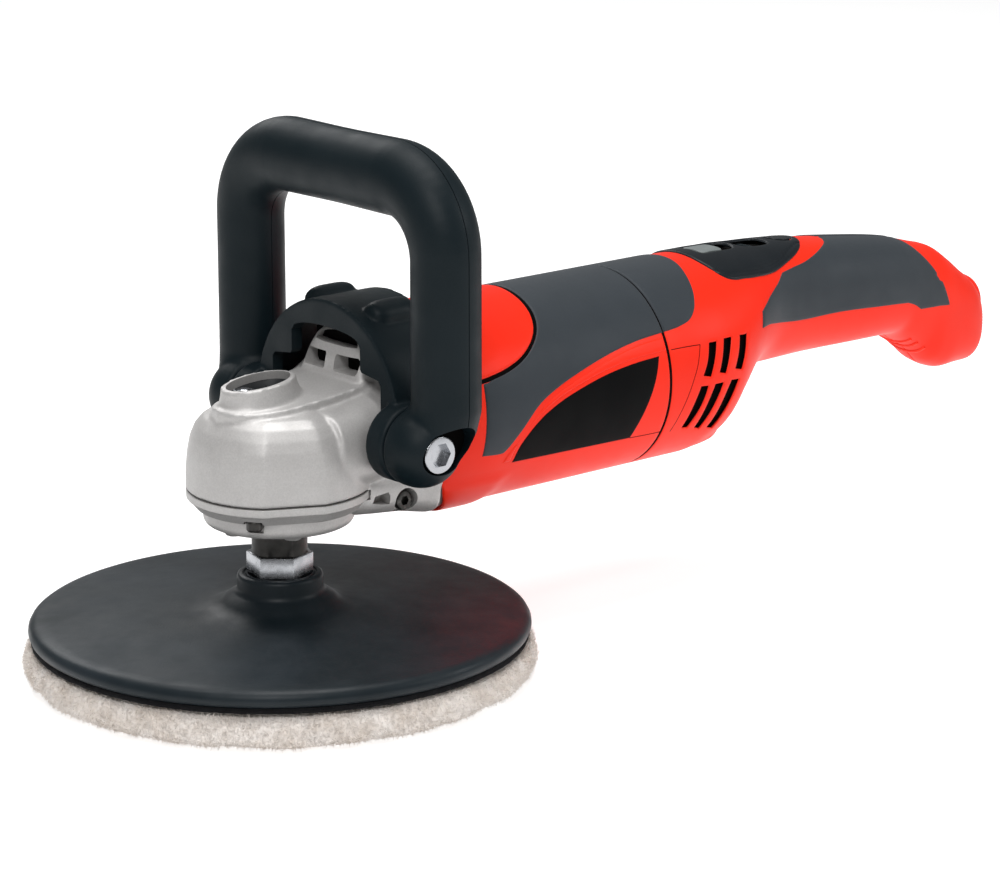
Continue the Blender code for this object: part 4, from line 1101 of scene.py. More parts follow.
@dataclass
class GearHead:
    """The die-cast gear head, its bearing flange, screws and spindle lock (sizes in mm)."""

    radius: float = 33.0
    seam: float = 69.0
    lip_low: float = 65.5
    ring_low: float = 56.4
    ring_radius: float = 27.3
    cheek: float = 31.2
    cheek_turn: float = 117.0
    profile: tuple = ((0, 69.2), (32.6, 69.2), (33.0, 69.8), (32.9, 76), (32.2, 83), (31.2, 88),
                      (29.4, 92.3), (26.6, 95.6), (23.0, 97.9), (18.0, 99.4), (12.0, 100.2), (0, 100.4))
    ring_centre: float = -7.9
    ring_half: tuple[float, float] = (14.4, 9.9)
    ring_tilt: float = 5.8
    screw_turns: tuple = (52, 128, 215, 325)

    def plan(self, turn: Array, radius: float) -> Array:
        """The head's outline from above: round in front, with two flattened cheeks."""
        reach = np.full(len(turn), radius)
        for side in (-1, 1):
            facing = np.cos(turn - side * math.radians(self.cheek_turn))
            limit = self.cheek * radius / self.radius / np.maximum(facing, 0.05)
            reach = np.minimum(reach, limit)
        return reach

    def build(self) -> None:
        """Makes every piece of the head."""
        self.casting()
        self.flange()
        self.screws()
        self.lock_button()

    def tilted(self, mesh: bpy.types.Mesh, height: float) -> bpy.types.Mesh:
        """A shape built about the origin, tilted and set over the lock button's place."""
        turn = Matrix.Rotation(-math.radians(self.ring_tilt), 4, "Y")
        mesh.transform(Matrix.Translation((self.ring_centre * MM, 0, height * MM)) @ turn)
        return mesh

    def stacked_ovals(self, levels: Sequence[tuple[float, float]]) -> bpy.types.Mesh:
        """Oval rings, each from an inset and a height in mm, skinned into a solid."""
        a, b = self.ring_half
        rings = [np.array([(x * MM, y * MM, z * MM) for x, y in oval(max(a + grow, 0.01),
                                                                  max(b + grow, 0.01), count=96)])
                 for grow, z in levels]
        return loft(rings)

    def neck(self) -> bpy.types.Mesh:
        """The casting's neck, from the head to the joint with the motor housing."""
        turn = np.linspace(-math.pi / 2, 1.5 * math.pi, 145)[:-1]
        low = np.maximum(0, 71 - SURFACE.at(np.full(144, 52 * MM), turn)[:, 2] / MM)
        end = (50.5 + 0.62 * low) * MM
        rings = [SURFACE.lifted(4 * MM + (end - 4 * MM) * t, turn, -0.1 * MM) for t in np.linspace(0, 1, 44)]
        return loft(rings)

    def plateau(self) -> bpy.types.Mesh:
        """The raised step that runs from the button ring back on to the neck."""
        rings = []
        for t in np.linspace(0, 1, 24):
            x = -26.5 + 54 * t
            half = 14.5 * math.sqrt(max(0.0, 1 - (1 - min(1, t * 2.4)) ** 2)) + 5.0 * t
            top = 100.9 + 1.2 * t + 4.6 * t * t
            low = top - 9
            rings.append(np.array([(x, half * c, top - 0.9 * abs(c) ** 3 if up else low)
                                   for c, up in [(k / 8, True) for k in range(-8, 9)]
                                   + [(k / 8, False) for k in range(8, -9, -1)]]) * MM)
        return loft(rings)

    def lobe(self) -> bpy.types.Mesh:
        """The lower bulge behind the flange."""
        turn = np.linspace(0, 2 * math.pi, 97)[:-1]
        rings = []
        for x, half, low in ((8, 22, 60), (16, 25.5, 57.5), (26, 27.5, 56.6), (38, 29, 55.6),
                             (50, 30.5, 53)):
            middle, high = (76 + low) / 2, (76 - low) / 2
            reach = (np.abs(np.cos(turn) / half) ** 3.2 + np.abs(np.sin(turn) / high) ** 3.2) ** (-1 / 3.2)
            rings.append(np.stack([np.full(96, x), reach * np.cos(turn), middle + reach * np.sin(turn)],
                                  1) * MM)
        return loft(rings)

    def dome(self) -> bpy.types.Mesh:
        """The steep wall and dome under the collar, which carries the air slots."""
        rings = []
        for x, top, half in ((22.8, 106.0, 18.4), (24.0, 112.0, 18.8), (26.4, 118.0, 19), (28.6, 121.2, 19.4),
                             (32, 122.8, 20), (42, 123.8, 22), (50, 124.4, 24)):
            rings.append(np.array([(x, half * c, 96 + (top - 96) * (1 - abs(c) ** 4.0) ** 0.5 if up else 90)
                                   for c, up in [(math.sin(k * math.pi / 32), True) for k in range(-16, 17)]
                                   + [(k / 8, False) for k in range(8, -9, -1)]]) * MM)
        return loft(rings)

    def casting(self) -> None:
        """The head itself, melted together from its masses and cut open for air and the lock."""
        head = turned(self.profile, 192, self.plan)
        ring = self.tilted(self.stacked_ovals([(2.0, -9), (2.0, -3.0), (1.4, -1.2), (0.8, 0.6), (0.5, 2.2),
                                               (0.3, 3.7)]), 104.9)
        obj = fuse([head, self.neck(), self.plateau(), self.lobe(), self.dome(), ring],
                   "gear_head_casting", 0.72 * MM, 3)
        well = self.tilted(self.stacked_ovals([(-1.5, -8.0), (-1.5, 7)]), 104.9)
        slots = [prism(self.slot(side), 20 * MM, 31 * MM, ALONG_X) for side in (-1, 1)]
        under = turned([(0, self.lip_low - 0.1), (self.radius + 0.6, self.lip_low - 0.1),
                        (self.radius + 0.6, self.seam + 0.08), (0, self.seam + 0.08)], 192, self.plan)
        crown = prism([(-12.0, 117.0), (-10.8, 119.2), (-5.8, 120.7), (0, 121.3), (5.8, 120.7), (10.8, 119.2),
                       (12.0, 117.0), (6, 116.6), (-6, 116.6)], 20 * MM, 33 * MM, ALONG_X)
        pocket = [prism(oval(4.6, 4.9, (35.5, 62.6), 0.1, 40), side * 22 * MM, side * 40 * MM, ALONG_Y)
                  for side in (-1, 1)]
        vent = [prism([(21.5, 63.6), (22.5, 66.3), (27.8, 67.2), (28.6, 65.6), (28.6, 62.6), (25, 62.9)],
                      side * 22 * MM, side * 40 * MM, ALONG_Y) for side in (-1, 1)]
        carve(obj, [under, well, *slots, crown, *pocket, *vent])
        piece(obj, Body.TOOL, CAST, ["gear_housing"])
        # A near-black plate behind the upper air slots paints the shade inside them.
        dark = [prism([(-16, 105), (-16, 120.4), (16, 120.4), (16, 105)], 30.2 * MM, 31.4 * MM, ALONG_X)]
        piece(fuse(dark, "air_slot_shadow", 0.6 * MM, 1), Body.TOOL, SHADOW_GAP)

    @staticmethod
    def slot(side: int) -> list[tuple[float, float]]:
        """One of the two lower air slots, as (Y, Z) corners."""
        corners = [(2.6, 108.2), (2.6, 112.9), (3.3, 113.7), (13.8, 113.7), (15.0, 112.5), (15.0, 108.8),
                   (14.2, 107.6), (3.3, 107.6)]
        return [(side * y, z) for y, z in corners]

    def flange(self) -> None:
        """The bearing flange: the plate under the seam and the round boss below it."""
        seam = turned([(0, 68.5), (self.radius - 0.2, 68.5), (self.radius - 0.2, 69.3), (0, 69.3)], 96,
                      self.plan)
        piece(loose(seam, "flange_gasket"), Body.TOOL, DARK)
        r = self.radius
        lip = turned(rounded([(0, 62), (r - 3.5, 62.4), (r - 1.0, self.lip_low),
                              (r - 0.1, self.lip_low + 0.5), (r, self.seam - 0.35),
                              (r - 0.15, self.seam - 0.12), (0, self.seam - 0.12)], 0.5, 5),
                     192, self.plan)
        b = self.ring_radius
        boss = turned(rounded([(0, self.ring_low), (b - 8, self.ring_low - 0.6), (b - 1.6, self.ring_low),
                               (b - 0.3, self.ring_low + 1.5), (b, 66), (0, 66)], 0.9, 5), 160)
        boss = fuse([boss, *self.feet()], "bearing_flange_casting", 0.6 * MM, 2)
        lip = loose(lip, "flange_lip")
        for obj in (boss, lip):
            cuts = [turned([(0, 58.9), (3.6, 58.9), (3.6, 63.8), (0, 63.8)], 40,
                           centre=(28.9 * math.cos(math.radians(a)), 28.9 * math.sin(math.radians(a))))
                    for a in self.screw_turns]
            carve(obj, cuts)
        piece(boss, Body.TOOL, CAST, ["bearing_flange"])
        piece(lip, Body.TOOL, CAST)

    def feet(self) -> list[bpy.types.Mesh]:
        """Low pads under the boss."""
        made = []
        for turn in (20, 100, 185, 245, 310):
            a = math.radians(turn)
            made.append(turned([(0, 55.2), (3.0, 55.2), (3.2, 58), (0, 58)], 24,
                               centre=(21.5 * math.cos(a), 21.5 * math.sin(a))))
        return made

    def screws(self) -> None:
        """The four flange screws and the screw in the rear pocket on each side."""
        places = [(Vector((28.4 * math.cos(math.radians(a)) * MM, 28.4 * math.sin(math.radians(a)) * MM,
                           63.9 * MM)), Vector((0, 0, -1))) for a in self.screw_turns]
        row = screw_row("flange_screw_heads", socket_head("flange_head", 2.9, 3.6, 2.6), places, DARK)
        piece(row, Body.TOOL, DARK, [f"flange_screw_{k}" for k in (1, 2, 3, 4)])
        sides = [(Vector((35.5 * MM, side * 24.5 * MM, 62.6 * MM)), Vector((0, side, 0))) for side in (-1, 1)]
        row = screw_row("pocket_screw_heads", socket_head("pocket_head", 3.6, 3.0, 3.2), sides, DARK)
        piece(row, Body.TOOL, DARK)

    def lock_button(self) -> None:
        """The glossy dished lock button inside its ring."""
        mesh = self.tilted(self.stacked_ovals([(-2.0, -4.4), (-2.0, 0.7), (-2.4, 1.1), (-4.0, 0.6),
                                               (-6, -0.2), (-8, -0.7), (-9.4, -0.8)]), 104.9)
        piece(loose(mesh, "lock_button_cap"), Body.LOCK, GLOSS, ["spindle_lock_button"])


@dataclass
class Collar:
    """The black collar that clamps round the neck and carries the handle (sizes in mm)."""

    front: float = 21.9
    back: float = 51.5
    outer: float = 40.4
    inner: float = 36.6
    centre: float = 92.9
    lug_turn: float = 25.0

    def build(self) -> None:
        """Makes the collar as one soft-edged moulding."""
        o, c = self.outer, self.centre
        arch = [(o * math.cos(a), c + o * math.sin(a)) for a in np.linspace(-0.02, math.pi + 0.02, 72)]
        arch += [(-o, 88.5), (-30.5, 88.5), (30.5, 88.5), (o, 88.5)]
        solid = prism(arch, self.front * MM, self.back * MM, ALONG_X)
        feet = [self.foot(side) for side in (-1, 1)]
        obj = fuse([solid, *feet, *[self.lug(side) for side in (-1, 1)]], "handle_collar_moulding",
                   0.72 * MM, 2)
        bore = [(self.inner * math.cos(a), c + self.inner * math.sin(a))
                for a in np.linspace(0, math.pi, 48)] + [(-self.inner, 60), (self.inner, 60)]
        window = [(-31, 60), (31, 60), (31, 107.6), (29.6, 109.2), (20.4, 110.4), (19.6, 111.6),
                  (19.6, 119.2), (18.4, 120.6)]
        window += [(18.4 * math.cos(a), 120.6 + 3.2 * math.sin(a))
                   for a in np.linspace(0.2, math.pi - 0.2, 14)]
        window += [(-18.4, 120.6), (-19.6, 119.2), (-19.6, 111.6), (-20.4, 110.4), (-29.6, 109.2),
                   (-31, 107.6)]
        carve(obj, [prism(bore, 26.5 * MM, 60 * MM, ALONG_X), prism(window, 15 * MM, 30 * MM, ALONG_X)])
        piece(obj, Body.TOOL, BLACK, ["handle_collar"])

    def foot(self, side: int) -> bpy.types.Mesh:
        """A round foot that the handle's boss turns on."""
        mesh = turned(rounded([(0, 0), (12.8, 0), (13.9, 1.0), (13.9, 8.8), (12.8, 9.6), (0, 9.6)], 0.8), 96)
        turn = Matrix.Rotation(-side * math.pi / 2, 4, "X")
        mesh.transform(Matrix.Translation((24.4 * MM, side * 35.4 * MM, 88.7 * MM)) @ turn)
        return mesh

    def lug(self, side: int) -> bpy.types.Mesh:
        """A rounded finger lug on the collar's shoulder."""
        rings = []
        for t in np.linspace(0, 1, 22):
            grow = math.sqrt(max(0.0, 1 - (2 * t - 1) ** 4)) + 1e-3
            rings.append(np.array([(27.5 + 21 * t, 5.6 * grow * math.cos(a), 4.6 * grow * math.sin(a))
                                   for a in np.linspace(0, 2 * math.pi, 33)[:-1]]) * MM)
        mesh = loft(rings)
        turn = math.radians(self.lug_turn) * side
        mesh.transform(Matrix.Translation((0, 40.4 * math.sin(turn) * MM,
                                           (self.centre + 40.4 * math.cos(turn)) * MM))
                       @ Matrix.Rotation(-turn, 4, "X"))
        return mesh


@dataclass
class SideHandle:
    """The D-handle: two shells round a bent bar, with a boss and a bolt at each foot (in mm)."""

    leg_x: float = 31.5
    leg_y: float = 55.4
    bar_z: float = 180.6
    leg_radius: float = 12.4
    bar_radius: float = 13.6
    corner: float = 25.0
    boss: tuple[float, float] = (24.4, 88.7)
    part_gap: float = 0.35

    def line(self) -> list[tuple[Vector, float]]:
        """Centre line and radius, from the left foot over the bar to the right foot."""
        y, z, r = self.leg_y, self.bar_z, self.corner
        bx, bz = self.boss
        half = [((bx + 2.1, 5.4 - y, bz + 0.8), 13.2), ((bx + 3.4, 4.1 - y, bz + 3.4), 13.1),
                ((bx + 5.1, 2.4 - y, bz + 6.3), 12.9), ((bx + 6.4, 0.9 - y, bz + 10.2), 12.6),
                ((self.leg_x, -y, bz + 14.5), 12.45), ((self.leg_x, -y, bz + 22), self.leg_radius),
                ((self.leg_x, -y, bz + 30), self.leg_radius)]
        half += [((self.leg_x, -y, h), self.leg_radius) for h in np.linspace(bz + 36, z - r, 9)]
        for a in np.linspace(0, math.pi / 2, 15)[1:]:
            grow = self.leg_radius + (self.bar_radius - self.leg_radius) * a / (math.pi / 2)
            half.append(((self.leg_x, -y + r - r * math.cos(a), z - r + r * math.sin(a)), grow))
        half += [((self.leg_x, h, z), self.bar_radius - 0.35 * (1 - abs(h) / (y - r)))
                 for h in np.linspace(-y + r + 5, -4, 6)]
        whole = half + [((p[0], -p[1], p[2]), rad) for p, rad in reversed(half)]
        return [(Vector(p) * MM, rad * MM) for p, rad in whole]

    def build(self) -> None:
        """Makes the two shells and the bolts."""
        parts = [self.rod(), *[shape(side) for side in (-1, 1) for shape in (self.foot, self.ball)]]
        whole = fuse(parts, "handle_whole", 0.85 * MM, 3)
        wells = [prism(oval(11.4, 8.1, (26.9, 89.6), 0.34), side * 57.2 * MM, side * 75 * MM, ALONG_Y)
                 for side in (-1, 1)]
        carve(whole, wells)
        for name, sign in (("handle_front_half", -1), ("handle_rear_half", 1)):
            half = keep_side(whole, name, (self.leg_x + sign * self.part_gap / 2) * MM, sign)
            node = "handle_shell_front" if sign < 0 else "handle_shell_rear"
            piece(half, Body.HANDLE, BLACK, [node])
        bpy.data.objects.remove(whole)
        self.bolts()

    def rod(self) -> bpy.types.Mesh:
        """The bent bar as a sweep whose radius changes along it."""
        line = self.line()
        rings = []
        for i, (at, radius) in enumerate(line):
            ahead = line[min(i + 1, len(line) - 1)][0] - line[max(i - 1, 0)][0]
            ahead.normalize()
            across = Vector((1, 0, 0)) - ahead * ahead.x
            across.normalize()
            side = ahead.cross(across)
            rings.append(np.array([at + across * radius * math.cos(a) + side * radius * math.sin(a)
                                   for a in np.linspace(0, 2 * math.pi, 65)[:-1]]))
        return loft(rings)

    def foot(self, side: int) -> bpy.types.Mesh:
        """The boss at a leg's end, domed on its outer face."""
        mesh = turned(rounded([(0, 0), (13.2, 0), (14.1, 1.0), (14.1, 6.5), (13.4, 9.5), (11.9, 12.5),
                               (9.8, 15.0), (7.2, 17.0), (0, 17.8)], 1.6, 5), 96)
        turn = Matrix.Rotation(-side * math.pi / 2, 4, "X")
        x, z = self.boss
        mesh.transform(Matrix.Translation((x * MM, side * 45.5 * MM, z * MM)) @ turn)
        return mesh

    def ball(self, side: int) -> bpy.types.Mesh:
        """The round lower end of a leg."""
        at, reach = self.line()[0]
        arc = np.linspace(-math.pi / 2, math.pi / 2, 25)
        mesh = turned([(reach / MM * math.cos(a), reach / MM * math.sin(a)) for a in arc], 64)
        mesh.transform(Matrix.Translation((at.x, -side * at.y, at.z)))
        return mesh

    def bolts(self) -> None:
        """The socket bolt in each boss and a disc of painted shade at the bottom of its well."""
        for side, word in ((-1, "left"), (1, "right")):
            row = screw_row(f"handle_bolt_{word}_head", socket_head("bolt", 6.8, 4.3, 8.0),
                            [(Vector((23.5 * MM, side * 57.5 * MM, 88.4 * MM)), Vector((0, side, 0)))],
                            CHROME)
            piece(row, Body.TOOL, CHROME, [f"handle_bolt_{word}"])
            # A thin near-black disc paints the shade at the bottom of the well.
            well = prism(oval(11.3, 8.0, (26.9, 89.6), 0.34), side * 56.9 * MM, side * 57.35 * MM, ALONG_Y)
            piece(loose(well, f"bolt_well_{word}"), Body.HANDLE, SHADOW_GAP)


@dataclass
class MotorBody:
    """The red barrel with its soft grips, swooshes and labels (places in mm and degrees)."""

    SADDLE_SKIN = {"lift": 0.35 * MM, "drop": 0.75 * MM, "edge": 0.9 * MM, "spacing": 1.7 * MM}

    # A separate program printed most of the points of these two edges; they aren't worked out here.
    grip_low: tuple = ((64.5, -19), (73.0, -19.8), (75.8, -18.0), (82, -8), (90, 4.0), (100.5, 11.8),
                       (114, 18.4), (128, 23.8), (141.5, 27.4), (155.75, 29.3))
    cap_rear: tuple = ((63, 24.2), (68.8, 24.8), (77.0, 27.0), (85.0, 31.0), (91.6, 37.0), (96.9, 45.0),
                       (100.2, 55), (101.8, 67), (102.6, 83), (102.8, 90))

    def build(self) -> None:
        """Makes the barrel and everything on it."""
        self.barrel()
        self.cap()
        self.soft_grip()
        self.sides()
        self.joint_shade_ring()

    @staticmethod
    def across(line: Sequence[tuple[float, float]]) -> list[tuple[float, float]]:
        """The same line on the other side, run backwards."""
        return [(x, 180 - a) for x, a in reversed(line)]

    def barrel(self) -> None:
        """The red barrel shell, its front edge slanted back under the tool."""
        front = [(64.5, -90), (60.8, -65), (51.6, -39), (49.6, -26), (49.4, 0), (49.4, 40), (49.4, 90)]
        edge = front + self.across(front)[1:]
        outline = loop([(64.5, -90), (155.5, -90)], [(155.5, -90), (155.5, 270)],
                       [(155.5, 270), (64.5, 270)], list(reversed(edge)))
        patch = SurfacePatch(outline, lift=0.0, drop=0.5 * MM, edge=0.8 * MM, spacing=2.0 * MM,
                             wall=1.8 * MM, relief=self.front_lip)
        patch.piece("motor_barrel", RED, ["motor_housing", "front_bearing_plate"])

    @staticmethod
    def front_lip(x: Array, angle: Array) -> Array:
        """The scoop's thicker lip round the lower front of the barrel."""
        turn = np.degrees(angle)
        down = np.clip((-33 - np.where(turn > 90, 180 - turn, turn)) / 5, 0, 1)
        back = np.clip((84 - x / MM) / 9, 0, 1)
        return 1.1 * MM * down * down * (3 - 2 * down) * back * back * (3 - 2 * back)

    @staticmethod
    def outside(line: Sequence[tuple[float, float]], gap: float) -> list[tuple[float, float]]:
        """The cap's rear edge moved outwards by a gap in mm: down along its side, back over its top."""
        made = []
        for x, a in line:
            back = min(1.0, max(0.0, (a - 24) / 26))
            made.append((x + gap * (0.25 + 0.75 * back), a - gap * 1.45 * (1 - back)))
        return made

    def cap(self) -> None:
        """The red cap behind the collar, with a strip of painted shade in its groove."""
        rear = list(self.cap_rear)
        edge = rear + self.across(rear)[1:]
        # A near-black strip round the cap's edge paints the shade in its groove.
        groove = self.outside(rear, 1.7)
        back = groove + self.across(groove)[1:]
        outline = loop([(53, 180 - 21.2), (53, 21.2)], [(53, 21.2), (63.4, 21.7)], back,
                       [(63.4, 180 - 21.7), (53, 180 - 21.2)])
        SurfacePatch(outline, lift=0.05 * MM, drop=0.1 * MM, spacing=1.6 * MM).piece("cap_groove", SHADOW_GAP)
        outline = loop([(53, 180 - 23.6), (53, 23.6)], [(53, 23.6), (63, 24.2)], edge,
                       [(63, 180 - 24.2), (53, 180 - 23.6)])
        SurfacePatch(outline, lift=0.55 * MM, drop=0.9 * MM, edge=1.1 * MM, spacing=1.6 * MM,
                     relief=self.dish).piece("front_cap", RED, ["side_cap_left", "side_cap_right"])

    @staticmethod
    def dish(x: Array, angle: Array) -> Array:
        """The shallow finger dish on each side of the cap."""
        turn = np.degrees(angle)
        side = np.where(turn > 90, 180 - turn, turn)
        near = np.hypot((x / MM - 62) / 15, (side - 44) / 14)
        return -0.4 * MM * np.clip(1 - near ** 3, 0, 1)

    def soft_grip(self) -> None:
        """The slate grip saddle over the barrel and its end behind the housing joint."""
        low = list(self.grip_low)
        front = self.outside(self.cap_rear[1:], 1.35)
        outline = loop(low, [(155.75, 29.3), (155.75, 150.7)],
                       self.across(low),
                       [(64.5, 199), (65.1, 171.5), (65.6, 157.4)],
                       [(65.6, 157.4), *[(x, 180 - a) for x, a in front]], list(reversed(front)),
                       [(65.6, 22.6), (65.1, 8.5), (64.5, -19)])
        SurfacePatch(outline, **self.SADDLE_SKIN).piece(
            "barrel_grip_saddle", GRIP, ["barrel_soft_grip"])
        # A separate program printed these points; they aren't worked out here.
        rear = [(156.3, 29.4), (160, 29.8), (164.5, 30.6), (171, 33.2), (175.4, 38.4), (178, 44), (180.4, 51),
                (183.2, 62.5), (186, 76.5), (186.8, 90)]
        shoulder = rear + self.across(rear)[1:]
        outline = loop(shoulder, [(156.3, 150.6), (156.3, 29.4)])
        SurfacePatch(outline, **self.SADDLE_SKIN).piece(
            "shoulder_grip_saddle", GRIP, ["shoulder_soft_grip"])

    def sides(self) -> None:
        """The swoosh and label on each side, with a line of painted shade along a crease beside them."""
        # A separate program printed most of these outlines' points; they aren't worked out here.
        top = [(80.3, -27.5), (82.6, -16), (90, -4.5), (100, 3.4), (113, 9.4), (126, 13.6), (139, 16),
               (151, 17.0)]
        label = loop(top, [(151, 17.0), (148, 4), (144, -10.5), (141, -22), (139.4, -29.5)],
                     [(139.4, -29.5), (110, -28.5), (80.3, -27.5)])
        ridge_high = [(75.5, -26.4), (77.5, -19.6), (83.8, -9.5), (91.6, 2.0), (101.8, 9.6), (115, 16.0),
                      (128.5, 21.8), (141, 25.4), (155.2, 27.2)]
        ridge_low = [(155.2, 19.6), (151, 19.0), (139, 18.2), (126, 15.8), (113, 11.6), (100, 5.8),
                     (89.2, -2.8), (81.2, -14.6), (78.8, -26.4)]
        swoosh = loop(ridge_high, [(155.2, 27.2), (155.2, 19.6)], ridge_low, [(78.8, -26.4), (75.5, -26.4)])
        for word, flip in (("left", False), ("right", True)):
            ring = mirrored(label) if flip else label
            SurfacePatch(ring, lift=0.16 * MM, drop=0.3 * MM, edge=0.3 * MM, spacing=1.9 * MM,
                         wall=0.5 * MM).piece(f"label_{word}", LABEL, [f"label_panel_{word}"])
            ring = mirrored(swoosh) if flip else swoosh
            SurfacePatch(ring, lift=0.32 * MM, drop=0.55 * MM, edge=0.8 * MM, spacing=1.3 * MM).piece(
                f"swoosh_{word}", RED)
            # A thin near-black inlay paints the shade in the crease.
            crease = [(139.4, -29.5), (147, -30), (155.2, -30.3)]
            path = self.across(crease) if flip else crease
            inlay(f"lower_crease_{word}", flowing(path), 0.35 * MM, SHADOW_GAP)

    @staticmethod
    def joint_shade_ring() -> None:
        """A band of painted shade deep in the joint between barrel and rear housing."""
        mesh = turned([(0.01, -0.55), (38.35, -0.55), (38.35, 0.55), (0.01, 0.55)], 96)
        mesh.transform(Matrix.Translation((156.0 * MM, 0, AXIS_Z)) @ Matrix.Rotation(math.pi / 2, 4, "Y"))
        piece(loose(mesh, "housing_joint_shadow"), Body.TOOL, SHADOW_GAP)


@dataclass
class RearGrip:
    """The rear housing with its air slots, side grips, foot and cord boss (mm and degrees)."""

    start: float = 156.5
    end: float = 361.6

    def build(self) -> None:
        """Makes the housing and its soft grips."""
        self.housing()
        self.grips()
        self.crease_shade_lines()
        self.cord_boss()
        self.foot_ribs()

    def slots(self) -> list[Array]:
        """The six air slots on the left side."""
        # A separate program printed these points; they aren't worked out here.
        rows = (((177.5, 18.5), (181.5, 18.5), (179.5, 9), (177, -1), (173, 0.5), (175.5, 8.5)),
                ((185.5, 19), (190, 18.5), (187.5, 8.5), (185, -1), (181.5, 0.5), (183.5, 9.5)),
                ((195, 17.5), (199.5, 14.5), (197.5, 5), (195, -3.5), (190.5, -0.5), (193, 8)),
                ((172, -5.5), (176, -6), (174, -17.5), (170.5, -32.5), (167, -31.5), (169.5, -16.5)),
                ((179.5, -6), (184, -6), (181.5, -17.5), (178, -36), (174.5, -34), (177, -17)),
                ((188.5, -6.5), (193.5, -8.5), (191, -19.5), (186.5, -39.5), (182, -36.5), (185.5, -16.5)))
        return [loop([a, b], [b, c, d], [d, e], [e, f, a]) for a, b, c, d, e, f in rows]

    def panel_hole(self) -> Array:
        """The opening under the control panel."""
        return in_plan([(197.5, 0), (197.8, -10), (202, -18.5), (210, -20), (220, -19.2), (229, -17),
                        (237, -15), (246, -12), (252, -8.4), (255.6, 0), (252, 8.4), (246, 12), (237, 15), (229, 17),
                        (220, 19.2), (210, 20), (202, 18.5), (197.8, 10)], 1.4)

    def housing(self) -> None:
        """The two red half shells as one surface, parted underneath."""
        slots = self.slots()
        holes = [*slots, *[mirrored(s) for s in slots], self.panel_hole()]
        outline = loop([(self.start, -90), (self.end, -90)], [(self.end, -90), (self.end, 270)],
                       [(self.end, 270), (self.start, 270)], [(self.start, 270), (self.start, -90)])
        patch = SurfacePatch(outline, holes, lift=0.0, drop=0.45 * MM, edge=0.6 * MM, spacing=2.0 * MM,
                             wall=1.0 * MM, relief=self.heel)
        patch.piece("rear_housing", RED, ["rear_housing_left", "rear_housing_right"])
        # A near-black sheet inside the shells paints the shade seen through the slots and the panel opening.
        core = [SURFACE.lifted(np.full(72, x), np.linspace(0, 2 * math.pi, 73)[:-1], -1.8 * MM)
                for x in np.linspace(160 * MM, 262 * MM, 40)]
        piece(loose(loft(core), "housing_inner_shadow"), Body.TOOL, SHADOW_GAP,
              ["switch_block", "speed_board", "rear_bearing_bracket"])

    @staticmethod
    def heel(x: Array, angle: Array) -> Array:
        """The small lip where the barrel's underside ends."""
        turn = np.degrees(angle)
        side = np.where(turn > 90, 180 - turn, turn)
        low = np.clip((-52 - side) / 7, 0, 1)
        near = np.clip(1 - np.abs(x / MM - 197) / 11, 0, 1)
        return 1.3 * MM * low * (3 * near ** 2 - 2 * near ** 3)

    def grips(self) -> None:
        """The slate grips along the handle, one over each side."""
        # A separate program printed most of these points; they aren't worked out here.
        outline = loop([(210.5, 3), (226, -7.5), (244.5, -13.0), (271, -12.0), (306, -12.5)],
                       [(306, -12.5), (314.5, -18.5)],
                       [(314.5, -18.5), (324, -8), (333, 6)],
                       [(333, 6), (331.5, 16), (328.5, 30.5), (323.5, 43), (319, 56.5), (316, 73.5),
                        (314.6, 88.6)],
                       [(314.6, 88.6), (292, 88.8), (276, 88.8), (272, 88.4)],
                       [(272, 88.4), (270.5, 78.5), (267, 68), (259, 56), (249.5, 46.5), (240.5, 41.5),
                        (233, 37.5)],
                       [(233, 37.5), (227, 26.5), (217.5, 17), (212, 14)],
                       [(212, 14), (210.5, 3)])
        for word, ring in (("left", outline), ("right", mirrored(outline))):
            SurfacePatch(ring, lift=0.4 * MM, drop=0.8 * MM, edge=1.0 * MM, spacing=1.6 * MM,
                         wall=1.4 * MM).piece(f"handle_grip_{word}", GRIP, [f"rear_soft_grip_{word}"])

    def crease_shade_lines(self) -> None:
        """Lines of painted shade along the side panels' crease lines behind the joint and along the tail's parting
        line.
        """
        # A separate program printed these points; they aren't worked out here.
        panel = [(157.5, 19.0), (165, 18.9), (172.5, 18.5)]
        # Each line is a thin near-black inlay that paints the shade in a crease.
        back = [(172.5, 18.5), (170, 7.5), (167, -3), (163.5, -17.5), (161, -32)]
        for word, flip in (("left", False), ("right", True)):
            for number, path in enumerate((panel, back)):
                line = MotorBody.across(path) if flip else path
                inlay(f"panel_crease_{word}_{number}", flowing(line), 0.3 * MM, SHADOW_GAP, 0.03 * MM)
        inlay("tail_parting_line", flowing([(318, 90), (340, 90), (352, 90), (359, 90)]), 0.3 * MM, SHADOW_GAP,
              0.03 * MM)

    @staticmethod
    def cord_boss() -> None:
        """The round bump on the tail with the blank cord outlet."""
        mesh = turned(rounded([(0, 0), (11.4, 0), (11.6, 5), (10.6, 8.0), (8.2, 9.2), (4.4, 9.4), (4.0, 8.4),
                               (0, 8.4)], 1.2, 5), 72)
        mesh.transform(Matrix.Translation((352.7 * MM, 0, 84.2 * MM))
                       @ Matrix.Rotation(math.radians(96), 4, "Y"))
        piece(loose(mesh, "cord_boss"), Body.TOOL, RED)
        ring = turned(rounded([(0, 0), (4.6, 0), (4.6, 9.6), (3.2, 9.9), (2.8, 8.8), (0, 8.8)], 0.4), 48)
        ring.transform(Matrix.Translation((352.8 * MM, 0, 84.2 * MM))
                       @ Matrix.Rotation(math.radians(96), 4, "Y"))
        piece(loose(ring, "cord_outlet"), Body.TOOL, BLACK, ["cord_gland"])

    @staticmethod
    def foot_ribs() -> None:
        """Thin ribs across the front of the downward foot."""
        for number, x in enumerate((318.5, 322.5, 326.5)):
            path = [(x, -118), (x + 0.3, -105), (x + 0.4, -90), (x + 0.3, -75), (x, -62)]
            inlay(f"foot_rib_{number}", flowing(path), 1.1 * MM, RED, 0.55 * MM)


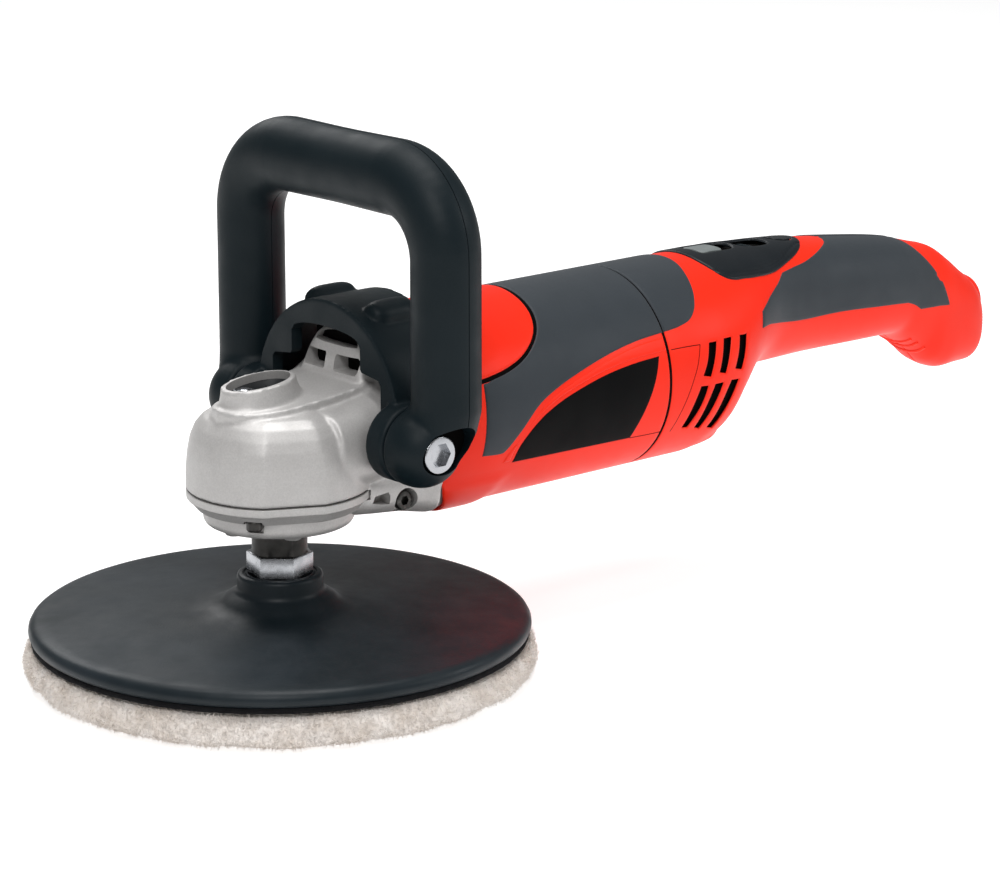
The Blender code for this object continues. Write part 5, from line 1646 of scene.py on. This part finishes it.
@dataclass
class Controls:
    """The control panel on top of the rear housing, with its switch, wheel and button (in mm)."""

    panel: tuple = ((194.6, 0), (194.8, -8), (195.8, -14), (198.6, -20), (203, -22.6), (210, -22.6),
                    (219, -21.9), (228.6, -19.6), (237, -17.2), (246, -14.0), (252.6, -10), (257, -5),
                    (258.6, 0))

    def build(self) -> None:
        """Makes the panel and its controls."""
        ring = list(self.panel)
        ring += [(x, -y) for x, y in reversed(ring[1:-1])]
        slot = in_plan([(202.4, -6.1), (210, -6.3), (217.8, -6.1), (220.6, -3.6), (221.6, 0), (220.6, 3.6),
                        (217.8, 6.1), (210, 6.3), (202.4, 6.1), (202.0, 0)], 0.8)
        wheel = in_plan([(224.4, -5.4), (231.5, -6.6), (238.6, -5.4), (240, 0), (238.6, 5.4), (231.5, 6.6),
                         (224.4, 5.4), (223, 0)], 0.8)
        button = in_plan([(250 + 5.9 * math.cos(t), 4.7 * math.sin(t))
                          for t in np.linspace(0, -2 * math.pi, 17)[:-1]], 0.8)
        SurfacePatch(in_plan(ring), [slot, wheel, button], lift=0.75 * MM, drop=1.0 * MM, edge=1.1 * MM,
                     spacing=1.2 * MM, wall=1.6 * MM, relief=self.rim).piece(
            "control_panel_cover", PANEL, ["control_panel"])
        self.tile()
        self.wheel()
        self.button()

    @staticmethod
    def rim(x: Array, angle: Array) -> Array:
        """A shallow line pressed in along the panel's border."""
        across = SURFACE.at(x, angle)[:, 1] / MM
        half = np.interp(x / MM, [196, 203, 219, 237, 252], [17, 20.6, 19.9, 15.2, 8])
        near = np.abs(np.abs(across) - half)
        return -0.45 * MM * np.clip(1 - near / 0.75, 0, 1)

    @staticmethod
    def slab(ring: Array, low: float, high: float) -> bpy.types.Mesh:
        """A slab between two lifts over the surface, inside an outline."""
        bottom = SURFACE.lifted(ring[:, 0], ring[:, 1], low)
        rings = [bottom]
        middle = SURFACE.lifted(ring[:, 0], ring[:, 1], high).mean(0)
        for share, lift in ((1.0, high - 0.5 * MM), (0.985, high - 0.2 * MM), (0.94, high)):
            top = SURFACE.lifted(ring[:, 0], ring[:, 1], lift)
            top[:, :2] = middle[:2] + (top[:, :2] - middle[:2]) * share
            rings.append(top)
        return loft(rings)

    def tile(self) -> None:
        """The grey sliding switch tile."""
        ring = in_plan([(203.2, -5.4), (208.4, -5.5), (213.6, -5.4), (213.9, 0), (213.6, 5.4), (208.4, 5.5),
                        (203.2, 5.4), (202.9, 0)], 0.8)
        mesh = self.slab(ring, -2.6 * MM, 0.55 * MM)
        piece(loose(mesh, "switch_tile"), Body.SLIDER, TILE, ["slide_switch"])

    def wheel(self) -> None:
        """The knurled speed wheel in the thumb recess."""
        teeth = 40

        def knurl(turn: Array, radius: float) -> Array:
            """Radius with fine ridges."""
            return radius * (1 + (0.022 * np.sign(np.cos(teeth * turn)) if radius > 9.5 else 0))
        low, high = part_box("speed_wheel")
        middle = (low + high) / 2
        reach = (high.z - low.z) / 2 / MM
        width = (high.y - low.y) / 2 / MM
        mesh = turned(rounded([(0, -width), (reach - 0.6, -width), (reach - 0.1, -width + 0.6),
                               (reach - 0.1, width - 0.6), (reach - 0.6, width), (0, width)], 0.4, 3),
                      240, knurl)
        mesh.transform(Matrix.Translation(middle) @ Matrix.Rotation(math.pi / 2, 4, "X"))
        piece(loose(mesh, "speed_wheel_knurled"), Body.WHEEL, BLACK, ["speed_wheel"], math.radians(25))

    def button(self) -> None:
        """The oval power button."""
        ring = np.array([(x * MM, SURFACE.angle_at(x * MM, y * MM))
                         for x, y in oval(5.4, 4.2, (250, 0), count=40)])
        mesh = self.slab(ring, -2.6 * MM, 0.95 * MM)
        piece(loose(mesh, "power_button_cap"), Body.BUTTON, PANEL, ["power_button"])


class InnerParts:
    """The works inside the housings, which keep their CAD shapes and take their finishes."""

    BY_WORD = (("bearing", CHROME), ("armature_core", STACK), ("stator", STACK), ("winding", COPPER),
               ("coil", COPPER), ("commutator", BRASS), ("brush_holder", BRASS), ("carbon", CARBON),
               ("gear", DARK), ("shaft", CHROME), ("spring", CHROME), ("fan", BLACK), ("board", BOARD))

    def build(self) -> None:
        """Gives each shown CAD node its material."""
        for name, node in sorted(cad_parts.items()):
            if node.hide_render:
                continue
            finish = next((f for word, f in self.BY_WORD if word in name), BLACK)
            if node.material_slots:
                for place in node.material_slots:
                    place.material = finish.material()
            else:
                node.data.materials.append(finish.material())
            LOG.info("%s: CAD node in %s", name, finish.name)


@dataclass
class Studio:
    """A pale floor, soft lights and the camera."""

    camera_at: tuple[float, float, float] = (-0.7501, -0.9829, 0.4144)
    looks: tuple[float, float, float] = (0.6342, 0.7295, -0.2561)
    lens: float = 129.6

    def build(self) -> None:
        """Sets the stage."""
        self.floor()
        self.lights()
        self.camera()
        bpy.context.scene.view_settings.view_transform = "Standard"

    @staticmethod
    def floor() -> None:
        """A wide pale floor."""
        mesh = mesh_of([(-6, -6, 0), (6, -6, 0), (6, 6, 0), (-6, 6, 0)], [(0, 1, 2, 3)], "floor")
        obj = loose(mesh, "studio_floor")
        paint = bpy.data.materials.new("pale_floor")
        paint.use_nodes = True
        shader = paint.node_tree.nodes["Principled BSDF"]
        shader.inputs["Base Color"].default_value = (0.62, 0.62, 0.62, 1)
        shader.inputs["Emission Color"].default_value = (1, 1, 1, 1)
        shader.inputs["Emission Strength"].default_value = 0.62
        shader.inputs["Roughness"].default_value = 0.9
        shader.inputs["Specular IOR Level"].default_value = 0.1
        mesh.materials.append(paint)

    @staticmethod
    def area(name: str, at: tuple, size: float, power: float) -> None:
        """A square soft light that faces the tool."""
        data = bpy.data.lights.new(name, "AREA")
        data.shape, data.size, data.energy = "SQUARE", size, power
        lamp = bpy.data.objects.new(name, data)
        bpy.context.scene.collection.objects.link(lamp)
        lamp.location = at
        way = Vector((0.10, 0, 0.08)) - Vector(at)
        lamp.rotation_euler = way.to_track_quat("-Z", "Y").to_euler()

    def lights(self) -> None:
        """An overhead bank, a key from the camera's left and a low fill."""
        world = bpy.data.worlds.new("studio")
        bpy.context.scene.world = world
        world.use_nodes = True
        nodes, links = world.node_tree.nodes, world.node_tree.links
        room = nodes["Background"]
        room.inputs["Color"].default_value = (1, 1, 1, 1)
        room.inputs["Strength"].default_value = 0.22
        backdrop = nodes.new("ShaderNodeBackground")
        backdrop.inputs["Color"].default_value = (1, 1, 1, 1)
        seen = nodes.new("ShaderNodeLightPath").outputs["Is Camera Ray"]
        either = nodes.new("ShaderNodeMixShader")
        links.new(seen, either.inputs["Fac"])
        links.new(room.outputs["Background"], either.inputs[1])
        links.new(backdrop.outputs["Background"], either.inputs[2])
        links.new(either.outputs["Shader"], nodes["World Output"].inputs["Surface"])
        self.area("overhead", (0.1, 0.1, 1.7), 1.0, 23)
        self.area("key", (-0.9, -0.9, 1.3), 0.5, 12)
        self.area("side_fill", (1.2, -1.1, 0.9), 0.6, 6)
        self.area("rim", (0.4, 1.3, 1.0), 0.7, 6)

    def camera(self) -> None:
        """The camera, level and without shift."""
        data = bpy.data.cameras.new("camera")
        data.lens, data.sensor_width = self.lens, 36.0
        data.clip_end = 50
        obj = bpy.data.objects.new("camera", data)
        bpy.context.scene.collection.objects.link(obj)
        obj.location = self.camera_at
        obj.rotation_euler = Vector(self.looks).to_track_quat("-Z", "Y").to_euler()
        bpy.context.scene.camera = obj


def main() -> None:
    """Builds every assembly in order."""
    logging.basicConfig(level=logging.INFO, format="%(name)s %(message)s")
    for part in (PadStack(), GearHead(), Collar(), SideHandle(), MotorBody(), RearGrip(), Controls(),
                 InnerParts(), Studio()):
        part.build()


if __name__ == "__main__":
    main()
